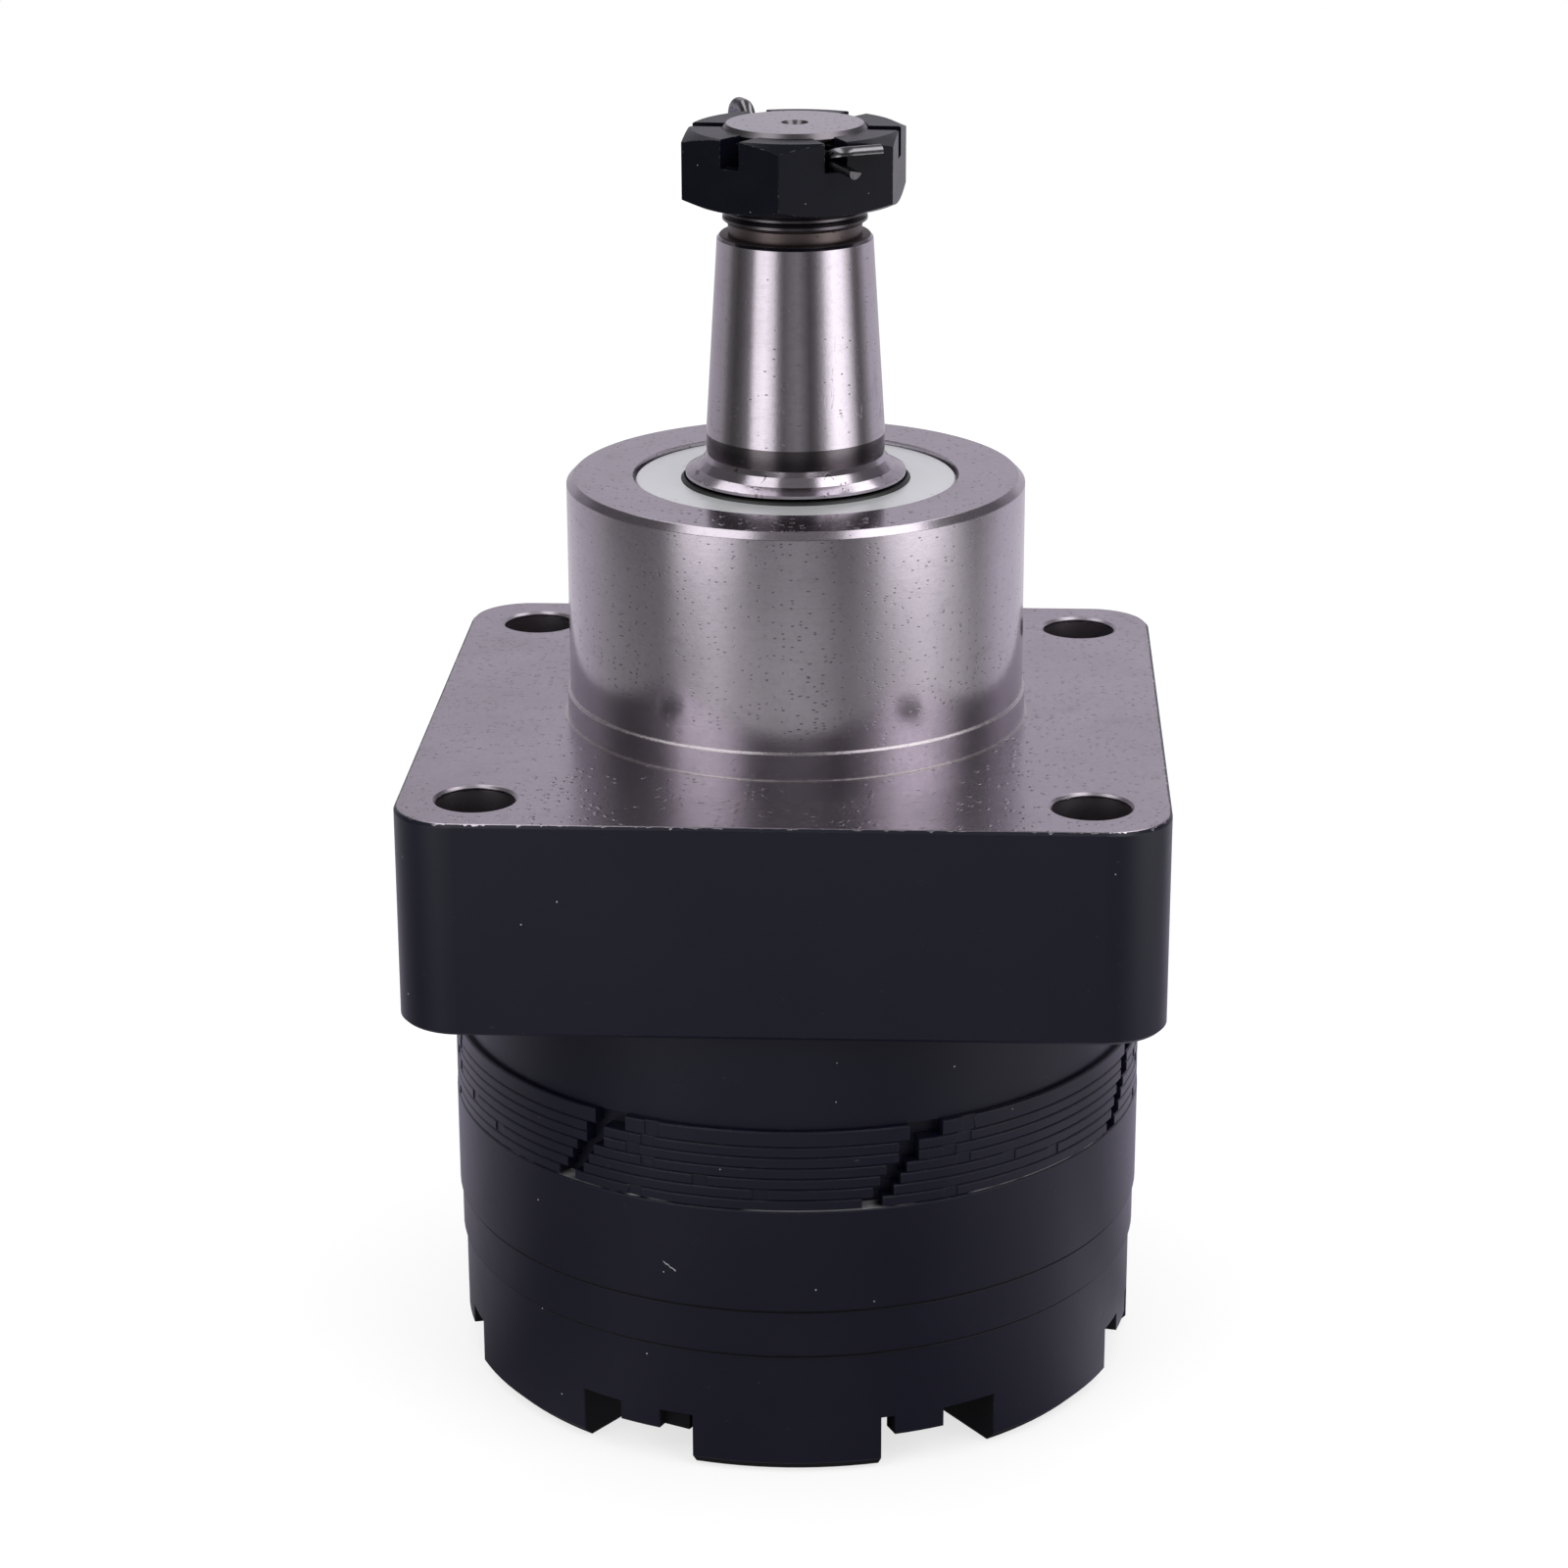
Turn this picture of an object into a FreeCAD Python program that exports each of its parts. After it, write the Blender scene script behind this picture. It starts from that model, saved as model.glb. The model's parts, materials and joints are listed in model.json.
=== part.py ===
import FreeCAD, Part
import Sketcher
import math
import os

# Low-speed high-torque hydraulic wheel motor with a roller-vane orbit set.
# Frame: +Z along the output shaft, origin where the shaft axis meets the
# mounting face of the square flange.  The shaft points up, the end cover is
# at the bottom.  The plain side of the flange faces -Y and the two work ports
# open on the +Y side.  All sizes are millimetres and angles are degrees.

os.makedirs("parts", exist_ok=True)
doc = FreeCAD.newDocument("hydraulic_motor")

SIZES = {
    # housing and square flange
    "flange_half": 65.75,
    "flange_depth": 38.0,
    "flange_corner": 11.0,
    "flange_edge": 0.6,
    "pilot_radius": 41.275,
    "pilot_height": 5.0,
    "nose_radius": 40.8,
    "nose_height": 43.9,
    "nose_edge": 1.2,
    "rear_radius": 62.3,
    "rear_face": 56.0,
    "mount_half_spacing": 52.2,
    "mount_hole_radius": 6.8,
    "mount_hole_edge": 0.45,
    "cover_recess_radius": 29.0,
    "cover_recess_floor": 41.7,
    "seal_bore_radius": 25.4,
    "seal_bore_floor": 31.2,
    "front_wall_radius": 21.5,
    "bearing_bore_radius": 32.5,
    "bearing_outer_end": 26.0,
    "bearing_inner_end": 10.0,
    "valve_cavity_radius": 36.0,
    "valve_cavity_top": 30.0,
    "port_spacing_half": 22.0,
    "port_height": 18.0,
    "port_radius": 10.2,
    "port_floor": 47.0,
    "port_spot_radius": 16.0,
    "port_spot_depth": 0.8,
    "passage_radius": 3.4,
    # clamping bolts
    "bolt_circle_radius": 51.5,
    "bolt_radius": 4.75,
    "bolt_hole_radius": 5.1,
    "tapped_hole_radius": 4.8,
    "tapped_hole_floor": 35.0,
    "bolt_tip": 37.5,
    "bolt_seat": 111.5,
    "bolt_head_end": 121.0,
    "bolt_head_radius": 7.1,
    "bolt_socket_flats": 7.9,
    "bolt_socket_depth": 5.0,
    "counterbore_radius": 7.8,
    # section seals
    "seal_ring_radius": 45.2,
    "seal_ring_wire": 0.64,
    "seal_groove_inner": 44.3,
    "seal_groove_outer": 46.1,
    "seal_groove_depth": 1.3,
    # manifold plates
    "plate_radius": 63.3,
    "plate_bore": 12.5,
    "first_plate_thick": 2.9,
    "plate_thick": 1.99,
    "plate_gap": 0.02,
    "notch_floor_radius": 60.4,
    "notch_half_width": 1.85,
    "first_notch_half_width": 3.1,
    "small_notch_floor": 63.1,
    "small_notch_half_width": 1.3,
    "plate_edge": 0.25,
    "inner_port_circle": 27.0,
    "inner_port_radius": 2.6,
    "outer_port_circle": 35.5,
    "outer_port_radius": 2.4,
    # roller set
    "stator_radius": 63.4,
    "stator_top": 70.84,
    "stator_bottom": 90.1,
    "stator_bore": 37.6,
    "roller_circle": 37.5,
    "roller_radius": 6.35,
    "roller_pocket_radius": 6.41,
    "roller_clearance": 0.06,
    "orbit_offset": 3.0,
    "side_clearance": 0.02,
    # wear plate and end cover
    "wear_radius": 63.0,
    "wear_bottom": 98.9,
    "wear_bore": 14.0,
    "end_radius": 62.45,
    "end_bottom": 121.9,
    "end_edge": 2.0,
    "pocket_floor": 111.9,
    "lug_bottom": 115.5,
    "pocket_inner_radius": 38.0,
    "pocket_inner_half": 6.9,
    "pocket_outer_radius": 66.0,
    "pocket_outer_half": 11.9,
    "lug_inner_radius": 58.4,
    "web_outer_radius": 60.4,
    "web_end": 9.9,
    "hub_recess_radius": 38.4,
    # shaft
    "shaft_end": 106.3,
    "shaft_end_radius": 11.95,
    "thread_radius": 12.7,
    "thread_start": 89.7,
    "neck_radius": 11.75,
    "taper_end": 87.05,
    "taper_edge": 86.35,
    "taper_edge_radius": 13.1,
    "taper_small_radius": 13.71,
    "taper_large_radius": 15.875,
    "taper_start": 51.7,
    "band_radius": 15.8,
    "band_start": 48.0,
    "flare_radius": 19.6,
    "flare_bottom": 44.2,
    "seal_journal_radius": 19.05,
    "seal_journal_top": 43.7,
    "journal_radius": 20.0,
    "collar_radius": 23.5,
    "tail_radius": 18.0,
    "tail_end": 42.0,
    "spline_minor": 10.0,
    "spline_major": 12.4,
    "spline_groove_half": 2.35,
    "spline_end": 30.0,
    "spline_relief": 12.7,
    "shaft_bore_top": 8.0,
    "tang_half_width": 2.95,
    "tang_slot_half_width": 3.0,
    "tang_depth": 4.0,
    "centre_drill_radius": 2.4,
    "cotter_hole_radius": 1.95,
    "cotter_height": 102.4,
    "cotter_hole_half": 20.0,
    "key_radius": 11.1,
    "key_half_width": 3.15,
    "keyway_half_width": 3.175,
    "key_centre_radius": 14.9,
    "key_top_radius": 18.4,
    "key_height": 69.0,
    "key_rise": 2.2,
    # nut
    "nut_bottom": 93.0,
    "nut_top": 105.6,
    "nut_flats": 36.5,
    "nut_bore": 12.75,
    "nut_slot_half": 2.05,
    "nut_slot_depth": 5.0,
    "nut_crown_radius": 18.0,
    "nut_corner_reach": 24.0,
    "nut_crown_drop": 2.7,
    "cotter_leg_radius": 1.35,
    # seals and dust cover
    "dust_cover_radius": 28.5,
    "dust_cover_hole": 20.4,
    "dust_cover_top": 43.2,
    "dust_cover_thick": 1.4,
    "dust_lip_radius": 20.3,
    "seal_outer_radius": 25.38,
    "seal_inner_radius": 19.12,
    "seal_top": 41.3,
    "seal_bottom": 33.2,
    "backup_top": 33.1,
    "backup_bottom": 31.25,
    "backup_inner": 19.4,
    # bearings
    "race_inner_outer": 22.8,
    "race_outer_inner": 29.2,
    "race_outer_outer": 32.45,
    "race_inner_bore": 20.02,
    "bearing_roller_circle": 26.0,
    "bearing_roller_radius": 3.1,
    "bearing_roller_half": 6.0,
    "bearing_middle": 18.0,
    "cage_inner": 24.3,
    "cage_outer": 27.7,
    "cage_half": 7.6,
    "cage_window_half": 6.2,
    "cage_window_radius": 3.25,
    "spacer_inner": 29.5,
    "retainer_inner": 25.0,
    "retainer_end": 29.5,
    # valve
    "valve_radius": 31.0,
    "valve_bore": 13.0,
    "valve_face": 55.96,
    "valve_top": 46.0,
    "valve_hub_radius": 17.8,
    "valve_hub_end": 42.03,
    "valve_port_radius": 2.6,
    "valve_slot_half": 2.5,
    "valve_slot_inner": 24.5,
    "valve_slot_depth": 8.0,
    "balance_inner": 18.6,
    "balance_outer": 35.8,
    "balance_bottom": 45.95,
    "balance_top": 38.0,
    "spring_inner": 24.0,
    "spring_outer": 34.0,
    "spring_high": 30.6,
    "spring_low": 36.4,
    "spring_thick": 1.3,
    "balance_seal_wire": 0.75,
    "balance_seal_height": 40.3,
    # drive link and thrust disc
    "link_front": 24.0,
    "link_head_half": 4.0,
    "link_root": 9.4,
    "link_tip": 11.8,
    "link_tooth_half": 1.9,
    "link_neck": 9.3,
    "link_tail_radius": 6.0,
    "link_tail_end": 96.0,
    "link_crown": 0.9,
    "disc_radius": 13.9,
    "disc_top": 91.2,
    "disc_bottom": 98.8,
    "disc_socket_radius": 6.8,
    "disc_socket_floor": 97.2,
    "disc_socket_depth": 8.0,
}

# Angles are measured to the right of the -Y direction, seen from the front.
SECTOR = 360.0 / 7.0
BOLT_AZIMUTH = 0.75
ROLLER_AZIMUTH = BOLT_AZIMUTH + SECTOR / 2.0
PLATE_COUNT = 7
NOTCH_AZIMUTH = (23.2, 20.3, 20.3, 18.3, 17.3, 16.2, 14.4)
SMALL_NOTCH_AZIMUTH = (30.6, 29.9, 27.2, 29.8, 38.5, 48.1, 27.5)
LUG_SPANS = ((-8.6, 0.6), (-4.1, 4.5), (-8.0, 1.0), (-3.6, 4.4), (-7.2, 1.6), (-4.6, 4.0), (-2.9, 4.9))
# One lug of the end cover has a web, set back from its face, towards the pocket wall.
WEBBED_LUG = 6
NUT_SLOT_AZIMUTH = 25.0
SPLINE_TEETH = 8
BEARING_ROLLERS = 16
THREAD_PITCH = 1.27
THREAD_DEPTH = 0.62

sheet = doc.addObject("Spreadsheet::Sheet", "Sizes")
for row, (alias, number) in enumerate(SIZES.items(), start=1):
    sheet.set("A%d" % row, alias.replace("_", " "))
    sheet.set("B%d" % row, str(number))
    sheet.setAlias("B%d" % row, alias)
doc.recompute()


def terms(text):
    """Split a sum such as '-wear_bottom+side_clearance' into signed names."""
    found = []
    for piece in text.replace("-", "+-").split("+"):
        piece = piece.strip()
        if piece:
            sign = -1.0 if piece.startswith("-") else 1.0
            found.append((sign, piece.lstrip("-")))
    return found


def number_of(text):
    total = 0.0
    for sign, name in terms(text):
        total += sign * (SIZES[name] if name in SIZES else float(name))
    return total


def formula(text):
    parts = []
    for sign, name in terms(text):
        shown = "Sizes." + name if name in SIZES else name
        parts.append(("- " if sign < 0 else "+ ") + shown)
    return " ".join(parts)


def new_body(label):
    body = doc.addObject("PartDesign::Body", label)
    body.Label = label
    return body


def new_sketch(body, plane, height="0", turn=0.0):
    """Attach a sketch to one of the body's own origin planes."""
    support = [f for f in body.Origin.OriginFeatures if f.Role == plane][0]
    sketch = body.newObject("Sketcher::SketchObject", "Sketch")
    sketch.AttachmentSupport = [(support, "")]
    sketch.MapMode = "FlatFace"
    turned = FreeCAD.Rotation(FreeCAD.Vector(0, 0, 1), turn)
    sketch.AttachmentOffset = FreeCAD.Placement(FreeCAD.Vector(0, 0, number_of(height)), turned)
    sketch.setExpression("AttachmentOffset.Base.z", formula(height))
    return sketch


def pin_point(sketch, geo, pos, x_text, y_text):
    """Fix one sketch point at a position given by the sheet."""
    for text, kind, axis in ((x_text, "DistanceX", -2), (y_text, "DistanceY", -1)):
        if text == "0":
            sketch.addConstraint(Sketcher.Constraint("PointOnObject", geo, pos, axis))
        else:
            index = sketch.addConstraint(
                Sketcher.Constraint(kind, -1, 1, geo, pos, number_of(text)))
            sketch.setExpression("Constraints[%d]" % index, formula(text))


def draw_outline(sketch, points):
    """Closed polygon whose corners follow the sheet."""
    start = sketch.GeometryCount
    corners = [FreeCAD.Vector(number_of(x), number_of(y), 0) for x, y in points]
    count = len(corners)
    for i in range(count):
        sketch.addGeometry(Part.LineSegment(corners[i], corners[(i + 1) % count]), False)
    for i in range(count):
        following = start + (i + 1) % count
        sketch.addConstraint(Sketcher.Constraint("Coincident", start + i, 2, following, 1))
    for i, (x, y) in enumerate(points):
        pin_point(sketch, start + i, 1, x, y)


def draw_circle(sketch, radius, x="0", y="0"):
    centre = FreeCAD.Vector(number_of(x), number_of(y), 0)
    circle = Part.Circle(centre, FreeCAD.Vector(0, 0, 1), number_of(radius))
    geo = sketch.addGeometry(circle, False)
    index = sketch.addConstraint(Sketcher.Constraint("Radius", geo, number_of(radius)))
    sketch.setExpression("Constraints[%d]" % index, formula(radius))
    if x == "0" and y == "0":
        sketch.addConstraint(Sketcher.Constraint("Coincident", geo, 3, -1, 1))
    else:
        pin_point(sketch, geo, 3, x, y)


def pad(body, sketch, length):
    feature = body.newObject("PartDesign::Pad", "Pad")
    feature.Profile = sketch
    feature.Length = number_of(length)
    feature.setExpression("Length", formula(length))
    sketch.Visibility = False
    return feature


def pocket(body, sketch, length, upward=False):
    """Cut down from the sketch plane, or up from it when upward is set."""
    feature = body.newObject("PartDesign::Pocket", "Pocket")
    feature.Profile = sketch
    feature.Length = number_of(length)
    feature.setExpression("Length", formula(length))
    feature.Reversed = upward
    sketch.Visibility = False
    return feature


def turned_profile(body, points, kind="Revolution"):
    """Revolve a half section (radius, height) about the shaft axis."""
    sketch = new_sketch(body, "XZ_Plane")
    draw_outline(sketch, points)
    feature = body.newObject("PartDesign::" + kind, kind)
    feature.Profile = sketch
    feature.ReferenceAxis = (sketch, ["V_Axis"])
    feature.Angle = 360.0
    sketch.Visibility = False
    return feature


def around_axis(body, feature, sketch, count):
    doc.recompute()
    pattern = body.newObject("PartDesign::PolarPattern", "PolarPattern")
    pattern.Originals = [feature]
    pattern.Axis = (sketch, ["N_Axis"])
    pattern.Angle = 360.0
    pattern.Occurrences = count
    body.Tip = pattern
    return pattern


def ring_of_holes(body, top, depth, circle, radius, azimuth, count=7):
    """Equally spaced round holes cut down from a plane, first one at an azimuth."""
    sketch = new_sketch(body, "XY_Plane", top, azimuth)
    draw_circle(sketch, radius, "0", "-" + circle)
    return around_axis(body, pocket(body, sketch, depth), sketch, count)


def edges_where(body, test):
    doc.recompute()
    names = []
    for i, edge in enumerate(body.Shape.Edges, start=1):
        if test(edge):
            names.append("Edge%d" % i)
    return names


def dress(body, kind, names, size):
    dressed = body.Tip
    feature = body.newObject("PartDesign::" + kind, kind)
    feature.Base = (dressed, names)
    if kind == "Fillet":
        feature.Radius = number_of(size)
        feature.setExpression("Radius", formula(size))
    else:
        feature.Size = number_of(size)
        feature.setExpression("Size", formula(size))
    body.Tip = feature
    return feature


def break_outer_rims(body, radius):
    """Chamfer every outermost circular edge of a body."""
    rims = edges_where(body, lambda edge: edge.Curve.TypeId == "Part::GeomCircle"
                       and edge.Curve.Radius > size_of(radius) - 0.1)
    dress(body, "Chamfer", rims, "plate_edge")


def turned_part(label, points):
    body = new_body(label)
    turned_profile(body, points)
    return body


def direction(azimuth):
    """Unit vector at an azimuth to the right of -Y."""
    return FreeCAD.Vector(math.sin(math.radians(azimuth)), -math.cos(math.radians(azimuth)), 0)


def size_of(alias):
    return float(sheet.get(alias))


nodes = []

# ---------------------------------------------------------------- housing
housing = new_body("housing")
plate_sketch = new_sketch(housing, "XY_Plane", "-flange_depth")
draw_outline(plate_sketch, [
    ("-flange_half", "-flange_half"), ("flange_half", "-flange_half"),
    ("flange_half", "flange_half"), ("-flange_half", "flange_half")])
pad(housing, plate_sketch, "flange_depth")
corner_edges = edges_where(housing, lambda e: abs(e.Vertexes[0].Z - e.Vertexes[-1].Z) > 30.0)
dress(housing, "Fillet", corner_edges, "flange_corner")
rim_edges = edges_where(housing, lambda e: e.BoundBox.ZLength < 0.01)
dress(housing, "Chamfer", rim_edges, "flange_edge")
turned_profile(housing, [
    ("0", "-flange_depth+1"), ("pilot_radius", "-flange_depth+1"), ("pilot_radius", "pilot_height-0.3"),
    ("nose_radius", "pilot_height"), ("nose_radius", "nose_height-nose_edge"),
    ("nose_radius-nose_edge", "nose_height"), ("0", "nose_height")])
turned_profile(housing, [
    ("0", "-rear_face"), ("rear_radius", "-rear_face"), ("rear_radius", "-flange_depth+1"),
    ("0", "-flange_depth+1")])
turned_profile(housing, [
    ("0", "nose_height+1"), ("cover_recess_radius", "nose_height+1"),
    ("cover_recess_radius", "cover_recess_floor"), ("seal_bore_radius", "cover_recess_floor"),
    ("seal_bore_radius", "seal_bore_floor"), ("front_wall_radius", "seal_bore_floor"),
    ("front_wall_radius", "bearing_outer_end"), ("bearing_bore_radius", "bearing_outer_end"),
    ("bearing_bore_radius", "-valve_cavity_top"), ("valve_cavity_radius", "-valve_cavity_top"),
    ("valve_cavity_radius", "-rear_face-1"), ("0", "-rear_face-1")], "Groove")
turned_profile(housing, [
    ("seal_groove_inner", "-rear_face-1"), ("seal_groove_outer", "-rear_face-1"),
    ("seal_groove_outer", "-rear_face+seal_groove_depth"),
    ("seal_groove_inner", "-rear_face+seal_groove_depth")], "Groove")
holes = new_sketch(housing, "XY_Plane", "0")
for x in ("-mount_half_spacing", "mount_half_spacing"):
    for y in ("-mount_half_spacing", "mount_half_spacing"):
        draw_circle(holes, "mount_hole_radius", x, y)
pocket(housing, holes, "flange_depth+1")
hole_rims = edges_where(housing, lambda e: len(e.Vertexes) == 1 and e.Curve.TypeId == "Part::GeomCircle"
                        and abs(e.Curve.Radius - SIZES["mount_hole_radius"]) < 0.01)
dress(housing, "Chamfer", hole_rims, "mount_hole_edge")
ports = new_sketch(housing, "XZ_Plane", "-flange_half")
draw_circle(ports, "port_radius", "-port_spacing_half", "-port_height")
draw_circle(ports, "port_radius", "port_spacing_half", "-port_height")
pocket(housing, ports, "flange_half-port_floor", True)
spots = new_sketch(housing, "XZ_Plane", "-flange_half")
draw_circle(spots, "port_spot_radius", "-port_spacing_half", "-port_height")
draw_circle(spots, "port_spot_radius", "port_spacing_half", "-port_height")
pocket(housing, spots, "port_spot_depth", True)
tapped = new_sketch(housing, "XY_Plane", "-rear_face", BOLT_AZIMUTH)
draw_circle(tapped, "tapped_hole_radius", "0", "-bolt_circle_radius")
tapped_cut = pocket(housing, tapped, "rear_face-tapped_hole_floor", True)
around_axis(housing, tapped_cut, tapped, 7)
doc.recompute()

# Slanting oil passages, each from the floor of a work port to the valve cavity.
passage_ends = (
    (FreeCAD.Vector(14.0, 48.0, -20.0), FreeCAD.Vector(7.6, 27.0, -42.5)),
    (FreeCAD.Vector(-14.0, 48.0, -20.0), FreeCAD.Vector(-8.0, 31.0, -54.0)))
passages = []
for start, finish in passage_ends:
    along = finish - start
    drill = doc.addObject("Part::Cylinder", "PortPassage")
    drill.setExpression("Radius", "Sizes.passage_radius")
    drill.Height = along.Length
    drill.Placement = FreeCAD.Placement(start, FreeCAD.Rotation(FreeCAD.Vector(0, 0, 1), along))
    passages.append(drill)
drilled_housing = doc.addObject("Part::Cut", "drilled_once")
drilled_housing.Base = housing
drilled_housing.Tool = passages[0]
finished_housing = doc.addObject("Part::Cut", "housing_drilled")
finished_housing.Base = drilled_housing
finished_housing.Tool = passages[1]
housing.Label = "housing_blank"
finished_housing.Label = "housing"
nodes.append(finished_housing)

# ---------------------------------------------------- dust cover and seals
dust_cover = turned_part("dust_cover", [
    ("dust_cover_hole", "dust_cover_top-dust_cover_thick"),
    ("dust_cover_radius", "dust_cover_top-dust_cover_thick"),
    ("dust_cover_radius", "dust_cover_top-0.25"), ("dust_cover_radius-0.25", "dust_cover_top"),
    ("dust_cover_hole", "dust_cover_top")])
nodes.append(dust_cover)
nodes.append(turned_part("dust_seal", [
    ("seal_inner_radius+0.05", "cover_recess_floor"), ("dust_lip_radius-0.3", "cover_recess_floor"),
    ("dust_lip_radius", "dust_cover_top"), ("dust_lip_radius-0.6", "dust_cover_top+0.5"),
    ("seal_inner_radius+0.75", "dust_cover_top+0.7"), ("seal_inner_radius+0.05", "dust_cover_top-0.2")]))
nodes.append(turned_part("shaft_seal", [
    ("seal_inner_radius+1.6", "seal_bottom"), ("seal_outer_radius", "seal_bottom"),
    ("seal_outer_radius", "seal_top"), ("seal_inner_radius", "seal_top"),
    ("seal_inner_radius", "seal_top-0.8"), ("seal_inner_radius+1.2", "seal_top-2"),
    ("seal_inner_radius+1.2", "seal_bottom+3"), ("seal_inner_radius", "seal_bottom+1.8")]))
nodes.append(turned_part("seal_backup_ring", [
    ("backup_inner", "backup_bottom"), ("seal_outer_radius", "backup_bottom"),
    ("seal_outer_radius", "backup_top"), ("backup_inner", "backup_top")]))


# ---------------------------------------------------------------- bearings
def ring(label, inner, outer, low, high):
    return turned_part(label, [(inner, low), (outer, low), (outer, high), (inner, high)])


def bearing(name, low, high, middle):
    """Cylindrical roller bearing: two races, a cage and its rollers."""
    nodes.append(ring(name + "_outer_race", "race_outer_inner", "race_outer_outer", low, high))
    nodes.append(ring(name + "_inner_race", "race_inner_bore", "race_inner_outer", low, high))
    cage = new_body(name + "_cage")
    turned_profile(cage, [
        ("cage_inner", middle + "-cage_half"), ("cage_outer", middle + "-cage_half"),
        ("cage_outer", middle + "+cage_half"), ("cage_inner", middle + "+cage_half")])
    windows = new_sketch(cage, "XY_Plane", middle + "+cage_window_half")
    draw_circle(windows, "cage_window_radius", "0", "-bearing_roller_circle")
    around_axis(cage, pocket(cage, windows, "cage_window_half+cage_window_half"), windows, BEARING_ROLLERS)
    nodes.append(cage)
    rollers = []
    for i in range(BEARING_ROLLERS):
        place = direction(360.0 * i / BEARING_ROLLERS) * SIZES["bearing_roller_circle"]
        roller = doc.addObject("Part::Cylinder", name + "_roller")
        place.z = number_of(middle + "-bearing_roller_half")
        roller.Placement = FreeCAD.Placement(place, FreeCAD.Rotation())
        roller.setExpression("Radius", "Sizes.bearing_roller_radius")
        roller.setExpression("Height", "2 * Sizes.bearing_roller_half")
        rollers.append(roller)
    group = doc.addObject("Part::Compound", name + "_rollers")
    group.Links = rollers
    group.Label = name + "_rollers"
    nodes.append(group)


bearing("front_bearing", "bearing_inner_end", "bearing_outer_end", "bearing_middle")
bearing("rear_bearing", "-bearing_outer_end", "-bearing_inner_end", "-bearing_middle")
nodes.append(ring("bearing_spacer", "spacer_inner", "race_outer_outer",
                  "-bearing_inner_end+0.02", "bearing_inner_end-0.02"))
nodes.append(ring("bearing_retainer", "retainer_inner", "race_outer_outer",
                  "-retainer_end", "-bearing_outer_end-0.02"))

# ------------------------------------------------------------ output shaft
shaft = new_body("output_shaft")
turned_profile(shaft, [
    ("0", "-tail_end"), ("tail_radius", "-tail_end"), ("tail_radius", "-bearing_outer_end"),
    ("journal_radius", "-bearing_outer_end"), ("journal_radius", "-bearing_inner_end"),
    ("collar_radius", "-bearing_inner_end"), ("collar_radius", "bearing_inner_end"),
    ("journal_radius", "bearing_inner_end"), ("journal_radius", "bearing_outer_end"),
    ("seal_journal_radius", "bearing_outer_end+0.5"), ("seal_journal_radius", "seal_journal_top"),
    ("flare_radius", "flare_bottom"), ("flare_radius", "flare_bottom+0.5"),
    ("flare_radius-2", "flare_bottom+1.5"), ("band_radius+0.5", "flare_bottom+2.9"),
    ("band_radius", "band_start"), ("band_radius", "taper_start"), ("taper_large_radius", "taper_start"),
    ("taper_small_radius", "taper_edge"), ("taper_edge_radius", "taper_end"),
    ("neck_radius", "taper_end"), ("neck_radius", "thread_start-0.7"),
    ("thread_radius", "thread_start"), ("thread_radius", "shaft_end-1"),
    ("shaft_end_radius", "shaft_end"), ("0", "shaft_end")])
turned_profile(shaft, [
    ("0", "shaft_end+0.5"), ("centre_drill_radius", "shaft_end+0.5"),
    ("centre_drill_radius", "shaft_end"), ("1", "shaft_end-2.4"), ("1", "shaft_end-5"),
    ("0", "shaft_end-5.6")], "Groove")
turned_profile(shaft, [
    ("0", "-tail_end-1"), ("spline_minor", "-tail_end-1"), ("spline_minor", "-shaft_bore_top-2"),
    ("0", "-shaft_bore_top")], "Groove")
turned_profile(shaft, [
    ("0", "-tail_end-1"), ("spline_relief", "-tail_end-1"), ("spline_relief", "-spline_end-2"),
    ("spline_relief-2", "-spline_end"), ("0", "-spline_end")], "Groove")
spline = new_sketch(shaft, "XY_Plane", "-tail_end")
draw_outline(spline, [
    ("-spline_groove_half", "-spline_major"), ("spline_groove_half", "-spline_major"),
    ("spline_groove_half", "-spline_minor+2"), ("-spline_groove_half", "-spline_minor+2")])
spline_cut = pocket(shaft, spline, "tail_end-shaft_bore_top-2", True)
around_axis(shaft, spline_cut, spline, SPLINE_TEETH)
slot = new_sketch(shaft, "XY_Plane", "-tail_end")
draw_outline(slot, [
    ("-tail_radius-1", "-tang_slot_half_width"), ("tail_radius+1", "-tang_slot_half_width"),
    ("tail_radius+1", "tang_slot_half_width"), ("-tail_radius-1", "tang_slot_half_width")])
pocket(shaft, slot, "tang_depth", True)
keyway = new_sketch(shaft, "YZ_Plane", "-keyway_half_width")
draw_circle(keyway, "key_radius", "key_centre_radius+key_rise", "key_height")
pocket(shaft, keyway, "keyway_half_width+keyway_half_width", True)
for i in range(12):
    groove_height = SIZES["thread_start"] + 0.9 + THREAD_PITCH * i
    low = "%.3f" % (groove_height - 0.5)
    mid = "%.3f" % groove_height
    high = "%.3f" % (groove_height + 0.5)
    turned_profile(shaft, [
        ("thread_radius+0.1", low), ("thread_radius+0.1", high),
        ("thread_radius-%.2f" % THREAD_DEPTH, mid)], "Groove")
cross_hole = doc.addObject("Part::Cylinder", "CotterHole")
cross_hole.setExpression("Radius", "Sizes.cotter_hole_radius")
cross_hole.setExpression("Height", "2 * Sizes.cotter_hole_half")
toward_slot = direction(NUT_SLOT_AZIMUTH)
hole_start = toward_slot * -SIZES["cotter_hole_half"]
hole_start.z = SIZES["cotter_height"]
cross_hole.Placement = FreeCAD.Placement(hole_start, FreeCAD.Rotation(FreeCAD.Vector(0, 0, 1), toward_slot))
shaft.Label = "output_shaft_blank"
drilled_shaft = doc.addObject("Part::Cut", "output_shaft_drilled")
drilled_shaft.Base = shaft
drilled_shaft.Tool = cross_hole
drilled_shaft.Label = "output_shaft"
nodes.append(drilled_shaft)

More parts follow.
